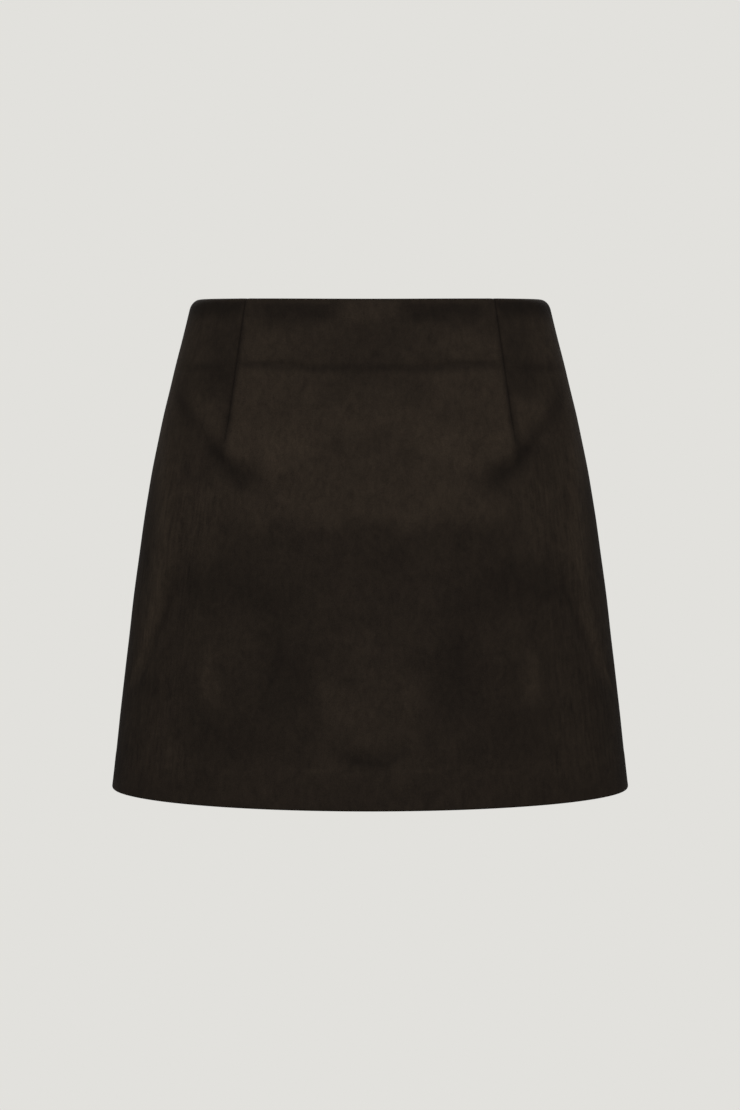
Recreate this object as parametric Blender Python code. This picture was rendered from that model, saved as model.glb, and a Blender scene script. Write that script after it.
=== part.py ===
"""A suede skort: an A-line mini skirt with waist darts, and the plain shorts sewn inside it.

It keeps the hollow form of a garment that is worn. Lengths are in metres and +Z is up. The front
faces -Y, and +X is the wearer's left. The origin is the middle of the waist opening, level with the
tops of the side seams. A point on the cloth is given by its drop, how far it lies below that level,
and its turn, its angle round the body from the centre front, positive towards the wearer's left.
"""

import math
from collections import namedtuple

import bmesh
import bpy
import numpy as np
from mathutils import Matrix

MM = 0.001

# The cloth and how it is joined
SUEDE = 1.2 * MM
SHORTS_CLOTH = 1.0 * MM
SEAM_GAP = 0.3 * MM

# The skirt
SKIRT_LENGTH = 366 * MM
WAIST_TURN_IN = 46 * MM
HEM_TURN_UP = 28 * MM
TURNED_EDGE = 0.6 * MM
WAIST_SQUARENESS = 2.15
HEM_SQUARENESS = 2.0
WAIST_EDGE_LIFT = 0.8 * MM
WAIST_EDGE_LIFT_FADES = 40 * MM

Section = namedtuple("Section", "drop half_width front back")
# The skirt's sections from the waist edge to the hem, in mm: the half width at the side seams, and
# how deep the front and the back reach from the side seams.
SKIRT_SECTIONS = [
    Section(0, 133.5, 92.0, 86.0),
    Section(28, 140.9, 95.5, 93.0),
    Section(56, 148.4, 99.0, 100.0),
    Section(101, 159.0, 105.0, 110.0),
    Section(155, 169.0, 111.5, 118.5),
    Section(210, 176.9, 118.0, 124.0),
    Section(265, 183.6, 124.5, 127.0),
    Section(319, 190.1, 131.3, 130.0),
    Section(366, 195.5, 137.0, 133.0),
]

# A dart is a sewn line down the cloth, one on each side.
Dart = namedtuple("Dart", "turn length")
FRONT_DART = Dart(math.radians(52.3), 107 * MM)
BACK_DART = Dart(math.radians(132.0), 122 * MM)
DART_DEPTH = 0.9 * MM
DART_HALF_WIDTH = 1.6 * MM
DART_FADES = 30 * MM
DART_FLANK = math.radians(1.0)

# The largest folds, one on each side. A path is (turn in degrees, drop in mm) from end to end, and
# the half width and height are in mm, with a trough's height below zero.
Fold = namedtuple("Fold", "name path half_width height")
FOLDS = [
    Fold("hip pull", [(72, 75), (60, 103), (51, 124), (40, 135)], 6.5, -2.2),
    Fold("lip over the hip pull", [(60, 83), (54, 97), (49, 112), (37, 121)], 6.0, 0.9),
    Fold("side flute", [(76, 92), (71, 147), (69, 195), (74, 245)], 12.0, 1.6),
    Fold("edge of the side flute", [(61, 172), (63, 215), (69, 252), (80, 296)], 9.0, -1.8),
    Fold("print of the turned-in waist", [(50, 46), (33, 48), (16, 50), (-6, 56)], 4.0, -0.8),
    Fold("dimple over the hem", [(-12, 324), (0, 328), (12, 324)], 6.0, -0.8),
    Fold("seat pull", [(108, 84), (119, 110), (130, 132), (143, 141)], 7.0, -2.0),
    Fold("back side flute", [(104, 120), (108, 170), (110, 215), (104, 262)], 12.0, 1.4),
    Fold("edge of the back side flute", [(117, 185), (114, 225), (108, 262), (99, 300)], 9.0, -1.6),
    Fold("fall from the seat", [(158, 212), (156, 262), (153, 312), (151, 366)], 15.0, -2.2),
    Fold("back print of the turned-in waist", [(130, 47), (146, 48), (160, 48), (176, 50)], 4.0, -0.7),
]
FOLD_STEPS = 10

# How far apart the rows and columns of a skirt panel are, closer together over the folds
HIPS_END = 150 * MM
ROWS_AT_WAIST, ROWS_OVER_HIPS, ROWS_BELOW_HIPS, ROWS_AT_HEM = 16 * MM, 11.5 * MM, 24 * MM, 14 * MM
COLUMNS_AT_MIDDLE, COLUMNS_OVER_FOLDS = math.radians(6.5), math.radians(4.2)

# The shorts
SHORTS_ROWS = 20 * MM
SHORTS_RISE_ROWS = 7
SHORTS_COLUMNS = 12
SHORTS_TOP = 38 * MM
SHORTS_CROTCH = 235 * MM
SHORTS_LENGTH = 305 * MM
SHORTS_RISE_STARTS = 150 * MM
SHORTS_LEG_FORMS = 130 * MM
SHORTS_THIGH_GAP = 6 * MM
SHORTS_ZIP_GAP = 4 * MM
# Where, from the side seam at 0 to the centre at 1, a panel starts to follow the rise, and follows it wholly
RISE_FROM, RISE_FULL = 0.3, 0.75
LEG_FRONT_AT_CROTCH, LEG_FRONT_AT_HEM = 92 * MM, 87 * MM
LEG_BACK_AT_CROTCH, LEG_BACK_AT_HEM = 98 * MM, 90 * MM

Ease = namedtuple("Ease", "drop inset")
# How far the shorts lie inside the skirt's outer face, in mm
SHORTS_EASE = [
    Ease(38, 3.5),
    Ease(50, 3.7),
    Ease(77, 4.6),
    Ease(103, 5.6),
    Ease(155, 8.0),
    Ease(200, 11.5),
    Ease(235, 16.0),
    Ease(305, 22.0),
]

# The concealed zip in the centre back
ZIP_TOP = 2 * MM
ZIP_LENGTH = 190 * MM
TAPE_WIDTH = 12 * MM
TAPE_TAIL = 6 * MM
TAPE = 1.0 * MM
TAPE_GAP = 0.45 * MM
TAPE_ROWS = 16 * MM
TAPE_COLUMNS = 3
# The shorts' back panels step in to lie over the tapes, towards their centre edges
OVER_TAPE = TAPE + TAPE_GAP + SEAM_GAP
OVER_TAPE_FADES = 10 * MM
OVER_TAPE_STARTS, OVER_TAPE_FULL = 0.75, 0.9
SLIDER_DROP = 10 * MM
SLIDER_WIDTH = 6.8 * MM
SLIDER_LENGTH = 9 * MM
SLIDER_THICKNESS = 2.4 * MM
NECK_WIDTH = 1.8 * MM
NECK_HEIGHT = 4.4 * MM
LUG_RADIUS = 2.3 * MM
LUG_HOLE_RADIUS = 1.15 * MM
PULL_PIN_OUT = 2.6 * MM
PULL_PIN_RADIUS = 0.7 * MM
PULL_LENGTH = 22 * MM
PULL_THICKNESS = 1.2 * MM
PULL_HALF_WIDTH_TOP = 2.7 * MM
PULL_HALF_WIDTH_END = 3.4 * MM
PULL_SLOT_HALF_WIDTH = 1.35 * MM
PULL_SLOT_LENGTH = 3.1 * MM
PULL_LEAN = math.radians(3.4)
STOP_WIDTH, STOP_LENGTH, STOP_THICKNESS = 5 * MM, 4 * MM, 1.6 * MM
SLIDER_EDGE, STOP_EDGE = 0.6 * MM, 0.4 * MM
PIN_SIDES = 20
PULL_END_STEPS = 6
# A small step that keeps two joined shapes' faces from lying in one plane
FACES_APART = 0.02 * MM

# The two rows of cloth beside the slider's neck, and the rows where the edges close again
EDGES_PARTED = (SLIDER_DROP - 3 * MM, SLIDER_DROP + 3 * MM)
EDGES_CLOSED = (SLIDER_DROP - 6 * MM, SLIDER_DROP + 7 * MM)
EDGES_PARTED_BY = NECK_WIDTH / 2 + SEAM_GAP + 0.2 * MM

SHARP_EDGE = math.radians(35)

FRONT, BACK = -1, 1
LEFT, RIGHT = 1, -1


def curve_through(knots, values):
    """A smooth curve through the points of a table, as a function of the drop."""
    knots, values = np.asarray(knots) * MM, np.asarray(values) * MM
    slopes = np.gradient(values, knots)

    def at(drop):
        first = np.clip(np.searchsorted(knots, drop) - 1, 0, len(knots) - 2)
        span = knots[first + 1] - knots[first]
        t = (drop - knots[first]) / span
        ends = values[first] * (1 + 2 * t) * (1 - t) ** 2 + values[first + 1] * t**2 * (3 - 2 * t)
        return ends + span * (slopes[first] * t * (1 - t) ** 2 + slopes[first + 1] * t**2 * (t - 1))

    return at


def smooth_step(value):
    value = np.clip(value, 0, 1)
    return value**2 * (3 - 2 * value)


skirt_half_width = curve_through([s.drop for s in SKIRT_SECTIONS], [s.half_width for s in SKIRT_SECTIONS])
skirt_front = curve_through([s.drop for s in SKIRT_SECTIONS], [s.front for s in SKIRT_SECTIONS])
skirt_back = curve_through([s.drop for s in SKIRT_SECTIONS], [s.back for s in SKIRT_SECTIONS])
shorts_ease = curve_through([e.drop for e in SHORTS_EASE], [e.inset for e in SHORTS_EASE])


def body_ring(turn, drop, inset=0.0):
    """Points of the rounded sections, drawn in by an inset."""
    half_width = skirt_half_width(drop) - inset
    depth = np.where(np.cos(turn) > 0, skirt_front(drop), skirt_back(drop)) - inset
    squareness = WAIST_SQUARENESS + (HEM_SQUARENESS - WAIST_SQUARENESS) * drop / SKIRT_LENGTH
    across = (np.abs(np.sin(turn)) / half_width) ** squareness
    reach = (across + (np.abs(np.cos(turn)) / depth) ** squareness) ** (-1 / squareness)
    lift = WAIST_EDGE_LIFT * np.sin(2 * turn) ** 2 * (1 - smooth_step(drop / WAIST_EDGE_LIFT_FADES))
    return np.stack([reach * np.sin(turn), -reach * np.cos(turn), lift - drop], axis=-1)


def ring_normals(turn, drop):
    """The outward directions of the skirt's smooth form."""
    step = 1e-4
    down = body_ring(turn, drop + step) - body_ring(turn, drop - step)
    round_body = body_ring(turn + step, drop) - body_ring(turn - step, drop)
    normals = np.cross(down, round_body)
    return normals / np.linalg.norm(normals, axis=-1, keepdims=True)


def fold_line(fold):
    """A fold's path as a smooth line of points on the skirt's form."""
    turns, drops = np.radians([p[0] for p in fold.path]), np.array([p[1] for p in fold.path]) * MM
    knots = np.linspace(0, 1, len(fold.path))
    at = np.linspace(0, 1, FOLD_STEPS + 1)
    smooth_turns = np.polyval(np.polyfit(knots, turns, len(knots) - 1), at)
    smooth_drops = np.polyval(np.polyfit(knots, drops, len(knots) - 1), at)
    return body_ring(smooth_turns, smooth_drops)


def fold_height(points, fold):
    """How far one fold moves the cloth out at each point, fading towards its ends."""
    line = fold_line(fold)
    starts, runs = line[:-1], np.diff(line, axis=0)
    offsets = points[..., None, :] - starts
    along = np.clip((offsets * runs).sum(-1) / (runs**2).sum(-1), 0, 1)
    gaps = np.linalg.norm(offsets - along[..., None] * runs, axis=-1)
    nearest = gaps.argmin(axis=-1)
    gap = np.take_along_axis(gaps, nearest[..., None], -1)[..., 0]
    place = (nearest + np.take_along_axis(along, nearest[..., None], -1)[..., 0]) / len(runs)
    ends_at_hem = fold.path[-1][1] * MM >= SKIRT_LENGTH
    fade = np.sin(np.pi * place * (0.5 if ends_at_hem else 1.0))
    return fold.height * MM * fade * np.exp(-((gap / (fold.half_width * MM)) ** 2))


def dart_height(turn, drop, dart):
    """The groove that a dart's sewn line makes."""
    apart = np.abs(np.abs(turn) - dart.turn) * skirt_half_width(drop)
    fade = np.clip((dart.length - drop) / DART_FADES, 0, 1)
    return -DART_DEPTH * fade * np.clip(1 - apart / DART_HALF_WIDTH, 0, 1)


def skirt_points(turn, drop, inset=0.0):
    """Points of the skirt's cloth with its folds and darts, an inset below its outer face."""
    smooth = body_ring(turn, drop)
    mirrored = smooth * np.array([-1, 1, 1])
    height = dart_height(turn, drop, FRONT_DART) + dart_height(turn, drop, BACK_DART)
    for fold in FOLDS:
        here, other_side = fold_height(smooth, fold), fold_height(mirrored, fold)
        height = height + np.where(np.abs(here) > np.abs(other_side), here, other_side)
    return smooth + ring_normals(turn, drop) * (height - inset)[..., None]


def wall_thickness(drop):
    """One layer of suede, and two where the waist is turned in and the hem is turned up."""
    doubled = (drop < WAIST_TURN_IN) | (drop > SKIRT_LENGTH - HEM_TURN_UP)
    return np.where(doubled, 2 * SUEDE, SUEDE)


def centre_back_gap(drop):
    """Half the gap between the two back edges, which part beside the slider's neck."""
    stations = [EDGES_CLOSED[0], *EDGES_PARTED, EDGES_CLOSED[1]]
    closed = SEAM_GAP / 2
    return np.interp(drop, stations, [closed, EDGES_PARTED_BY, EDGES_PARTED_BY, closed])


def even_steps(first, last, step):
    count = max(1, round((last - first) / step))
    return [first + (last - first) * i / count for i in range(count + 1)]


def skirt_drops(extra=()):
    """The drops of a panel's rows, closer together over the hips, with two rows at a turned edge."""
    hem_turned = SKIRT_LENGTH - HEM_TURN_UP
    rows = even_steps(0, WAIST_TURN_IN - TURNED_EDGE / 2, ROWS_AT_WAIST)
    rows += even_steps(WAIST_TURN_IN + TURNED_EDGE / 2, HIPS_END, ROWS_OVER_HIPS)
    rows += even_steps(HIPS_END, hem_turned - TURNED_EDGE / 2, ROWS_BELOW_HIPS)[1:]
    rows += even_steps(hem_turned + TURNED_EDGE / 2, SKIRT_LENGTH, ROWS_AT_HEM)
    return np.array(sorted({round(float(r), 6) for r in [*rows, *extra]}))


def quarter_turns(dart):
    """The columns of a quarter of the skirt, from its middle to the side seam, three at the dart."""
    columns = even_steps(0, dart / 2, COLUMNS_AT_MIDDLE)
    columns += even_steps(dart / 2, math.pi / 2, COLUMNS_OVER_FOLDS)[1:]
    kept = [column for column in columns if abs(column - dart) > 2 * DART_FLANK]
    return np.array(sorted([*kept, dart - DART_FLANK, dart, dart + DART_FLANK]))


def new_object(name, shape, finish):
    """An object made from a bmesh, shaded smooth."""
    mesh = bpy.data.meshes.new(name)
    shape.to_mesh(mesh)
    shape.free()
    mesh.materials.append(finish)
    mesh.shade_smooth()
    mesh.set_sharp_from_angle(angle=SHARP_EDGE)
    thing = bpy.data.objects.new(name, mesh)
    bpy.context.scene.collection.objects.link(thing)
    return thing


def cloth_wall(name, outer, inner, finish):
    """A closed wall of cloth between two grids of points with the same rows and columns."""
    rows, columns = outer.shape[:2]
    wall = bmesh.new()
    faces = [[[wall.verts.new(point) for point in row] for row in grid] for grid in (outer, inner)]
    for face in faces:
        for upper, lower in zip(face, face[1:]):
            for i in range(columns - 1):
                wall.faces.new((upper[i], upper[i + 1], lower[i + 1], lower[i]))
    across = [(0, i) for i in range(columns)]
    down = [(i, columns - 1) for i in range(1, rows)]
    back = [(rows - 1, i) for i in reversed(range(columns - 1))]
    up = [(i, 0) for i in reversed(range(1, rows - 1))]
    rim = across + down + back + up
    for (row, column), (next_row, next_column) in zip(rim, rim[1:] + rim[:1]):
        near, far = faces[0][row][column], faces[0][next_row][next_column]
        wall.faces.new((near, far, faces[1][next_row][next_column], faces[1][row][column]))
    bmesh.ops.recalc_face_normals(wall, faces=wall.faces)
    return new_object(name, wall, finish)


def skirt_panel(name, turns, drops, edges, finish):
    """A skirt panel. Its two edges are the gaps that it keeps from the seam lines, in turn order."""
    drop, turn = np.meshgrid(drops, turns, indexing="ij")
    turn[:, 0] += edges[0](drops)
    turn[:, -1] -= edges[1](drops)
    outer = skirt_points(turn, drop)
    inner = skirt_points(turn, drop, wall_thickness(drop))
    return cloth_wall(name, outer, inner, finish)


def side_edge(drop):
    """The turn that half a seam's gap takes at a side seam."""
    return SEAM_GAP / 2 / skirt_half_width(drop)


def centre_back_edge(drop):
    """The turn that half the centre-back gap takes."""
    return centre_back_gap(drop) / skirt_back(drop)


def build_skirt(finish):
    front_quarter = quarter_turns(FRONT_DART.turn)
    front_turns = np.concatenate([-front_quarter[:0:-1], front_quarter])
    skirt_panel("skirt_front", front_turns, skirt_drops(), (side_edge, side_edge), finish)
    back_turns = np.pi - quarter_turns(np.pi - BACK_DART.turn)[::-1]
    back_drops = skirt_drops(extra=(*EDGES_CLOSED, *EDGES_PARTED))
    skirt_panel("skirt_back_left", back_turns, back_drops, (side_edge, centre_back_edge), finish)
    mirrored = -back_turns[::-1]
    skirt_panel("skirt_back_right", mirrored, back_drops, (centre_back_edge, side_edge), finish)


def shorts_drops():
    """The drops of the shorts' rows, closing up towards the crotch."""
    above = even_steps(SHORTS_TOP, SHORTS_RISE_STARTS, SHORTS_ROWS)
    rise = SHORTS_CROTCH - SHORTS_RISE_STARTS
    bends = [math.pi / 2 * i / SHORTS_RISE_ROWS for i in range(1, SHORTS_RISE_ROWS + 1)]
    legs = even_steps(SHORTS_CROTCH, SHORTS_LENGTH, SHORTS_ROWS)
    return np.array([*above, *(SHORTS_RISE_STARTS + rise * math.sin(bend) for bend in bends), *legs[1:]])


def shorts_outer(side, face, across, drop):
    """The outer points of one panel: across is 0 at the side seam and 1 at the centre or inseam."""
    turn = side * (np.pi / 2 + face * across * np.pi / 2)
    over_tape = np.zeros_like(drop)
    if face == BACK:
        beside_zip = smooth_step((across - OVER_TAPE_STARTS) / (OVER_TAPE_FULL - OVER_TAPE_STARTS))
        past_zip = smooth_step((drop - ZIP_LENGTH - TAPE_TAIL) / OVER_TAPE_FADES)
        over_tape = OVER_TAPE * beside_zip * (1 - past_zip)
    torso = body_ring(turn, drop, shorts_ease(drop) + over_tape)
    down_leg = np.clip((drop - SHORTS_CROTCH) / (SHORTS_LENGTH - SHORTS_CROTCH), 0, 1)
    inner_side = SHORTS_THIGH_GAP * down_leg
    outer_side = skirt_half_width(drop) - shorts_ease(drop)
    front_depth = LEG_FRONT_AT_CROTCH + (LEG_FRONT_AT_HEM - LEG_FRONT_AT_CROTCH) * down_leg
    back_depth = LEG_BACK_AT_CROTCH + (LEG_BACK_AT_HEM - LEG_BACK_AT_CROTCH) * down_leg
    depth = front_depth if face == FRONT else back_depth
    middle, half = (outer_side + inner_side) / 2, (outer_side - inner_side) / 2
    swing = across * np.pi
    leg_x = side * (middle + half * np.cos(swing))
    leg = np.stack([leg_x, face * depth * np.sin(swing), -drop], axis=-1)
    rise = np.clip((drop - SHORTS_RISE_STARTS) / (SHORTS_CROTCH - SHORTS_RISE_STARTS), 0, 1)
    at_centre = 1 - np.sqrt(1 - rise**2)
    at_side = smooth_step((drop - SHORTS_LEG_FORMS) / (SHORTS_CROTCH - SHORTS_LEG_FORMS))
    towards_centre = smooth_step((across - RISE_FROM) / (RISE_FULL - RISE_FROM))
    share = (at_side + (at_centre - at_side) * towards_centre)[..., None]
    return torso * (1 - share) + leg * share


def grid_normals(points, middle):
    """The directions of a grid of points that face away from its middle."""
    normals = np.cross(np.gradient(points, axis=0), np.gradient(points, axis=1))
    normals /= np.linalg.norm(normals, axis=-1, keepdims=True)
    return normals if ((points - middle) * normals).sum() > 0 else -normals


def keep_to_side(points, side, face, centre_gap):
    """Holds a panel's points on their own side of the seams, half a gap or more from them."""
    kept = points.copy()
    kept[..., 0] = side * np.maximum(side * points[..., 0], centre_gap)
    kept[..., 1] = face * np.maximum(face * points[..., 1], SEAM_GAP / 2)
    return kept


def shorts_panel(name, side, face, finish):
    drops = shorts_drops()
    drop, across = np.meshgrid(drops, np.linspace(0, 1, SHORTS_COLUMNS + 1), indexing="ij")
    outer = shorts_outer(side, face, across, drop)
    middle = np.array([side * skirt_half_width(SHORTS_CROTCH) / 2, 0, -SHORTS_CROTCH])
    inner = outer - SHORTS_CLOTH * grid_normals(outer, middle)
    opened = (face == BACK) & (drop < ZIP_LENGTH)
    centre_gap = np.where(opened, SHORTS_ZIP_GAP, SEAM_GAP / 2)
    outer, inner = (keep_to_side(grid, side, face, centre_gap) for grid in (outer, inner))
    return cloth_wall(name, outer, inner, finish)


def build_shorts(finish):
    for face, face_name in ((FRONT, "front"), (BACK, "back")):
        for side, side_name in ((LEFT, "left"), (RIGHT, "right")):
            shorts_panel(f"shorts_{face_name}_{side_name}", side, face, finish)


def build_zip_tape(name, side, finish):
    """One side's tape, which follows the inside of the back panels."""
    turned = even_steps(EDGES_CLOSED[1], WAIST_TURN_IN - TURNED_EDGE / 2, TAPE_ROWS)
    single = even_steps(WAIST_TURN_IN + TURNED_EDGE / 2, ZIP_LENGTH + TAPE_TAIL, TAPE_ROWS)
    drops = np.array([ZIP_TOP, EDGES_CLOSED[0], *EDGES_PARTED, *turned, *single])
    drop, width = np.meshgrid(drops, np.linspace(0, TAPE_WIDTH, TAPE_COLUMNS + 1), indexing="ij")
    turn = side * (np.pi - (width + centre_back_gap(drop)) / skirt_back(drop))
    over = wall_thickness(drop) + TAPE_GAP
    return cloth_wall(name, skirt_points(turn, drop, over), skirt_points(turn, drop, over + TAPE), finish)


def centre_back_place(drop):
    """The matrix of a place on the centre back: X is the row's, Y points out and Z up the cloth."""
    turn, level = np.array([np.pi]), np.array([drop])
    origin, normal = skirt_points(turn, level)[0], ring_normals(turn, level)[0]
    lean = math.atan2(normal[2], normal[1])
    return Matrix.Translation(origin) @ Matrix.Rotation(lean, 4, "X")


def box(name, size, centre, finish, bevel=0.0):
    """A box at the row's origin, with its edges rounded."""
    shape = bmesh.new()
    bmesh.ops.create_cube(shape, size=1)
    bmesh.ops.scale(shape, vec=size, verts=shape.verts)
    bmesh.ops.translate(shape, vec=centre, verts=shape.verts)
    if bevel:
        bmesh.ops.bevel(shape, geom=shape.edges[:], offset=bevel, segments=2, affect="EDGES", profile=0.5)
    return new_object(name, shape, finish)


def cross_pin(name, radius, length, centre, finish):
    """A round pin along X."""
    shape = bmesh.new()
    bmesh.ops.create_cone(
        shape, cap_ends=True, segments=PIN_SIDES, radius1=radius, radius2=radius, depth=length,
        matrix=Matrix.Translation(centre) @ Matrix.Rotation(math.pi / 2, 4, "Y"),
    )
    return new_object(name, shape, finish)


def combine(target, tool, operation):
    """Joins a helper to a piece, or cuts it out, and hides the helper."""
    change = target.modifiers.new(tool.name, "BOOLEAN")
    change.operation = operation
    change.object = tool
    tool.hide_render = True
    tool.display_type = "WIRE"


def build_slider(place, finish):
    """The closed slider: a body behind the tapes, a neck between them and a lug outside."""
    body_front = -(2 * SUEDE + TAPE_GAP + TAPE + SEAM_GAP)
    body_size = (SLIDER_WIDTH, SLIDER_THICKNESS, SLIDER_LENGTH)
    body_centre = (0, body_front - SLIDER_THICKNESS / 2, 0)
    slider = box("zip_slider", body_size, body_centre, finish, SLIDER_EDGE)
    neck_back = body_front - SLIDER_THICKNESS / 2
    neck_front = PULL_PIN_OUT - (LUG_RADIUS + LUG_HOLE_RADIUS) / 2
    neck_size = (NECK_WIDTH, neck_front - neck_back, NECK_HEIGHT)
    neck = box("slider_neck", neck_size, (0, (neck_back + neck_front) / 2, 0), finish)
    lug_centre = (0, PULL_PIN_OUT, 0)
    lug = cross_pin("slider_lug", LUG_RADIUS, NECK_WIDTH - 2 * FACES_APART, lug_centre, finish)
    hole = cross_pin("slider_lug_hole", LUG_HOLE_RADIUS, 2 * NECK_WIDTH, lug_centre, finish)
    combine(slider, neck, "UNION")
    combine(slider, lug, "UNION")
    combine(slider, hole, "DIFFERENCE")
    for piece in (slider, neck, lug, hole):
        piece.matrix_world = place


def pull_outline():
    """Half of the tab's outline from the pin down to its rounded end, as (across, up)."""
    centre = -(PULL_LENGTH - PULL_HALF_WIDTH_END)
    end = [
        (PULL_HALF_WIDTH_END * math.cos(angle), centre - PULL_HALF_WIDTH_END * math.sin(angle))
        for angle in even_steps(0, math.pi / 2, math.pi / 2 / PULL_END_STEPS)
    ]
    return [(PULL_HALF_WIDTH_TOP, PULL_PIN_RADIUS), (PULL_HALF_WIDTH_TOP, -PULL_SLOT_LENGTH), *end]


def build_pull(place, finish):
    """The pull tab: a flat drop with a slot for the lug and a pin across the slot's top."""
    half = pull_outline()
    outline = half + [(-x, z) for x, z in reversed(half[:-1])]
    shape = bmesh.new()
    ring = [shape.verts.new((x, -PULL_THICKNESS / 2, z)) for x, z in outline]
    sheet = shape.faces.new(ring)
    pushed = bmesh.ops.extrude_face_region(shape, geom=[sheet])
    moved = [item for item in pushed["geom"] if isinstance(item, bmesh.types.BMVert)]
    bmesh.ops.translate(shape, vec=(0, PULL_THICKNESS, 0), verts=moved)
    bmesh.ops.recalc_face_normals(shape, faces=shape.faces)
    pull = new_object("zip_pull", shape, finish)
    slot_top, slot_end = 2 * PULL_PIN_RADIUS, -PULL_SLOT_LENGTH
    slot_size = (2 * PULL_SLOT_HALF_WIDTH, 3 * PULL_THICKNESS, slot_top - slot_end)
    slot = box("pull_slot", slot_size, (0, 0, (slot_top + slot_end) / 2), finish)
    pin = cross_pin("pull_pin", PULL_PIN_RADIUS, 2 * (PULL_HALF_WIDTH_TOP - FACES_APART), (0, 0, 0), finish)
    combine(pull, slot, "DIFFERENCE")
    combine(pull, pin, "UNION")
    pivot = bpy.data.objects.new("pull_pivot", None)
    bpy.context.scene.collection.objects.link(pivot)
    pin_place = place @ Matrix.Translation((0, PULL_PIN_OUT, 0))
    pivot.matrix_world = pin_place @ Matrix.Rotation(-PULL_LEAN, 4, "X")
    for piece in (pull, slot, pin):
        piece.parent = pivot


def build_zip(tape_finish, enamel):
    build_zip_tape("zip_tape_left", LEFT, tape_finish)
    build_zip_tape("zip_tape_right", RIGHT, tape_finish)
    slider_place = centre_back_place(SLIDER_DROP)
    build_slider(slider_place, enamel)
    build_pull(slider_place, enamel)
    under_tape = -(SUEDE + TAPE_GAP + TAPE + SEAM_GAP + STOP_THICKNESS / 2)
    stop = box("zip_stop", (STOP_WIDTH, STOP_THICKNESS, STOP_LENGTH), (0, under_tape, 0), enamel, STOP_EDGE)
    stop.matrix_world = centre_back_place(ZIP_LENGTH)


def new_finish(name, colour, roughness, metallic=0.0):
    finish = bpy.data.materials.new(name)
    finish.use_nodes = True
    shader = finish.node_tree.nodes["Principled BSDF"]
    shader.inputs["Base Color"].default_value = (*colour, 1)
    shader.inputs["Roughness"].default_value = roughness
    shader.inputs["Metallic"].default_value = metallic
    return finish


def clear_scene():
    for thing in list(bpy.data.objects):
        bpy.data.objects.remove(thing, do_unlink=True)


def main():
    clear_scene()
    build_skirt(new_finish("suede", (0.034, 0.026, 0.020), 0.9))
    build_shorts(new_finish("shorts_cloth", (0.020, 0.016, 0.013), 0.8))
    tape_finish = new_finish("zip_tape", (0.022, 0.017, 0.014), 0.8)
    build_zip(tape_finish, new_finish("zip_enamel", (0.040, 0.030, 0.024), 0.35))


main()
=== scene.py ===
"""The looks of a suede skort: its cloth, darts, seams, inner shorts and concealed zip.

Lengths are in metres, or in millimetres where a table says so, and +Z is up. The front faces -Y and
+X is the wearer's left. A place on the cloth is given by its turn, the angle round the body from
the centre front, positive towards the wearer's left, and its drop, how far it lies below the waist.
A cloth is a thin closed shell with two sides, its right side and its wrong side.
"""

import logging
import math
from dataclasses import dataclass
from enum import Enum
from typing import Callable, Sequence

import bpy
import numpy as np
from mathutils import Matrix, Vector


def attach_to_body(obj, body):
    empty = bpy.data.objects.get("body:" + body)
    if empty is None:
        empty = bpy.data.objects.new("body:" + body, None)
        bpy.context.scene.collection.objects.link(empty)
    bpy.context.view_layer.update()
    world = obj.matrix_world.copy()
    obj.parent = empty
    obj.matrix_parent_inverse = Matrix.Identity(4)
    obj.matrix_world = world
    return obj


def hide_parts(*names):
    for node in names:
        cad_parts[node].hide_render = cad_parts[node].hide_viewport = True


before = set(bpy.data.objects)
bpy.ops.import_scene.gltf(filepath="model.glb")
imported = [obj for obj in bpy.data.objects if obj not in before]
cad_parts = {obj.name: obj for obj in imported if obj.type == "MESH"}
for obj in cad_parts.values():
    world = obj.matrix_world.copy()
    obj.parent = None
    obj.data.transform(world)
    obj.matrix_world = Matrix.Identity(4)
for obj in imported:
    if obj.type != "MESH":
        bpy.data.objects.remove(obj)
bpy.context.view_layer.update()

LOG = logging.getLogger("skort")

MM = 0.001
DEGREES = math.pi / 180
SHARP_EDGE = 38 * DEGREES
SUEDE_THICKNESS = 1.2 * MM
ZIP_END = 190 * MM

GARMENT = "skort"
PULL_TAB = "pull_tab"

Points = np.ndarray  # the last axis holds X, Y and Z
Grid = np.ndarray  # one number for each row and column


class Slot(Enum):
    """The material slots."""

    SUEDE = "suede"
    SHORTS = "shorts_cloth"
    TAPE = "zip_tape"
    ENAMEL = "zip_enamel"


class Side(Enum):
    """The wearer's left, towards +X, and right."""

    LEFT = 1
    RIGHT = -1


class Face(Enum):
    """The front, towards -Y, and the back."""

    FRONT = -1
    BACK = 1


# ---- Small helpers for shapes ----


def smooth_step(value: Grid) -> Grid:
    """A soft step from 0 to 1."""
    held = np.clip(value, 0.0, 1.0)
    return held * held * (3 - 2 * held)


def window(value: Grid, ends: tuple[float, float], softness: tuple[float, float],
           wander: Grid | float = 0.0) -> Grid:
    """1 between two ends and 0 outside.

    Args:
        value: The values.
        ends: Where it begins and ends.
        softness: How wide the soft edge is at each end.
        wander: How far each edge wanders, as a share of its softness.

    Returns:
        The strength at each value.
    """
    rising = smooth_step((value - ends[0]) / softness[0] + 0.5 + wander)
    falling = smooth_step((ends[1] - value) / softness[1] + 0.5 + wander)
    return rising * falling


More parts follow.
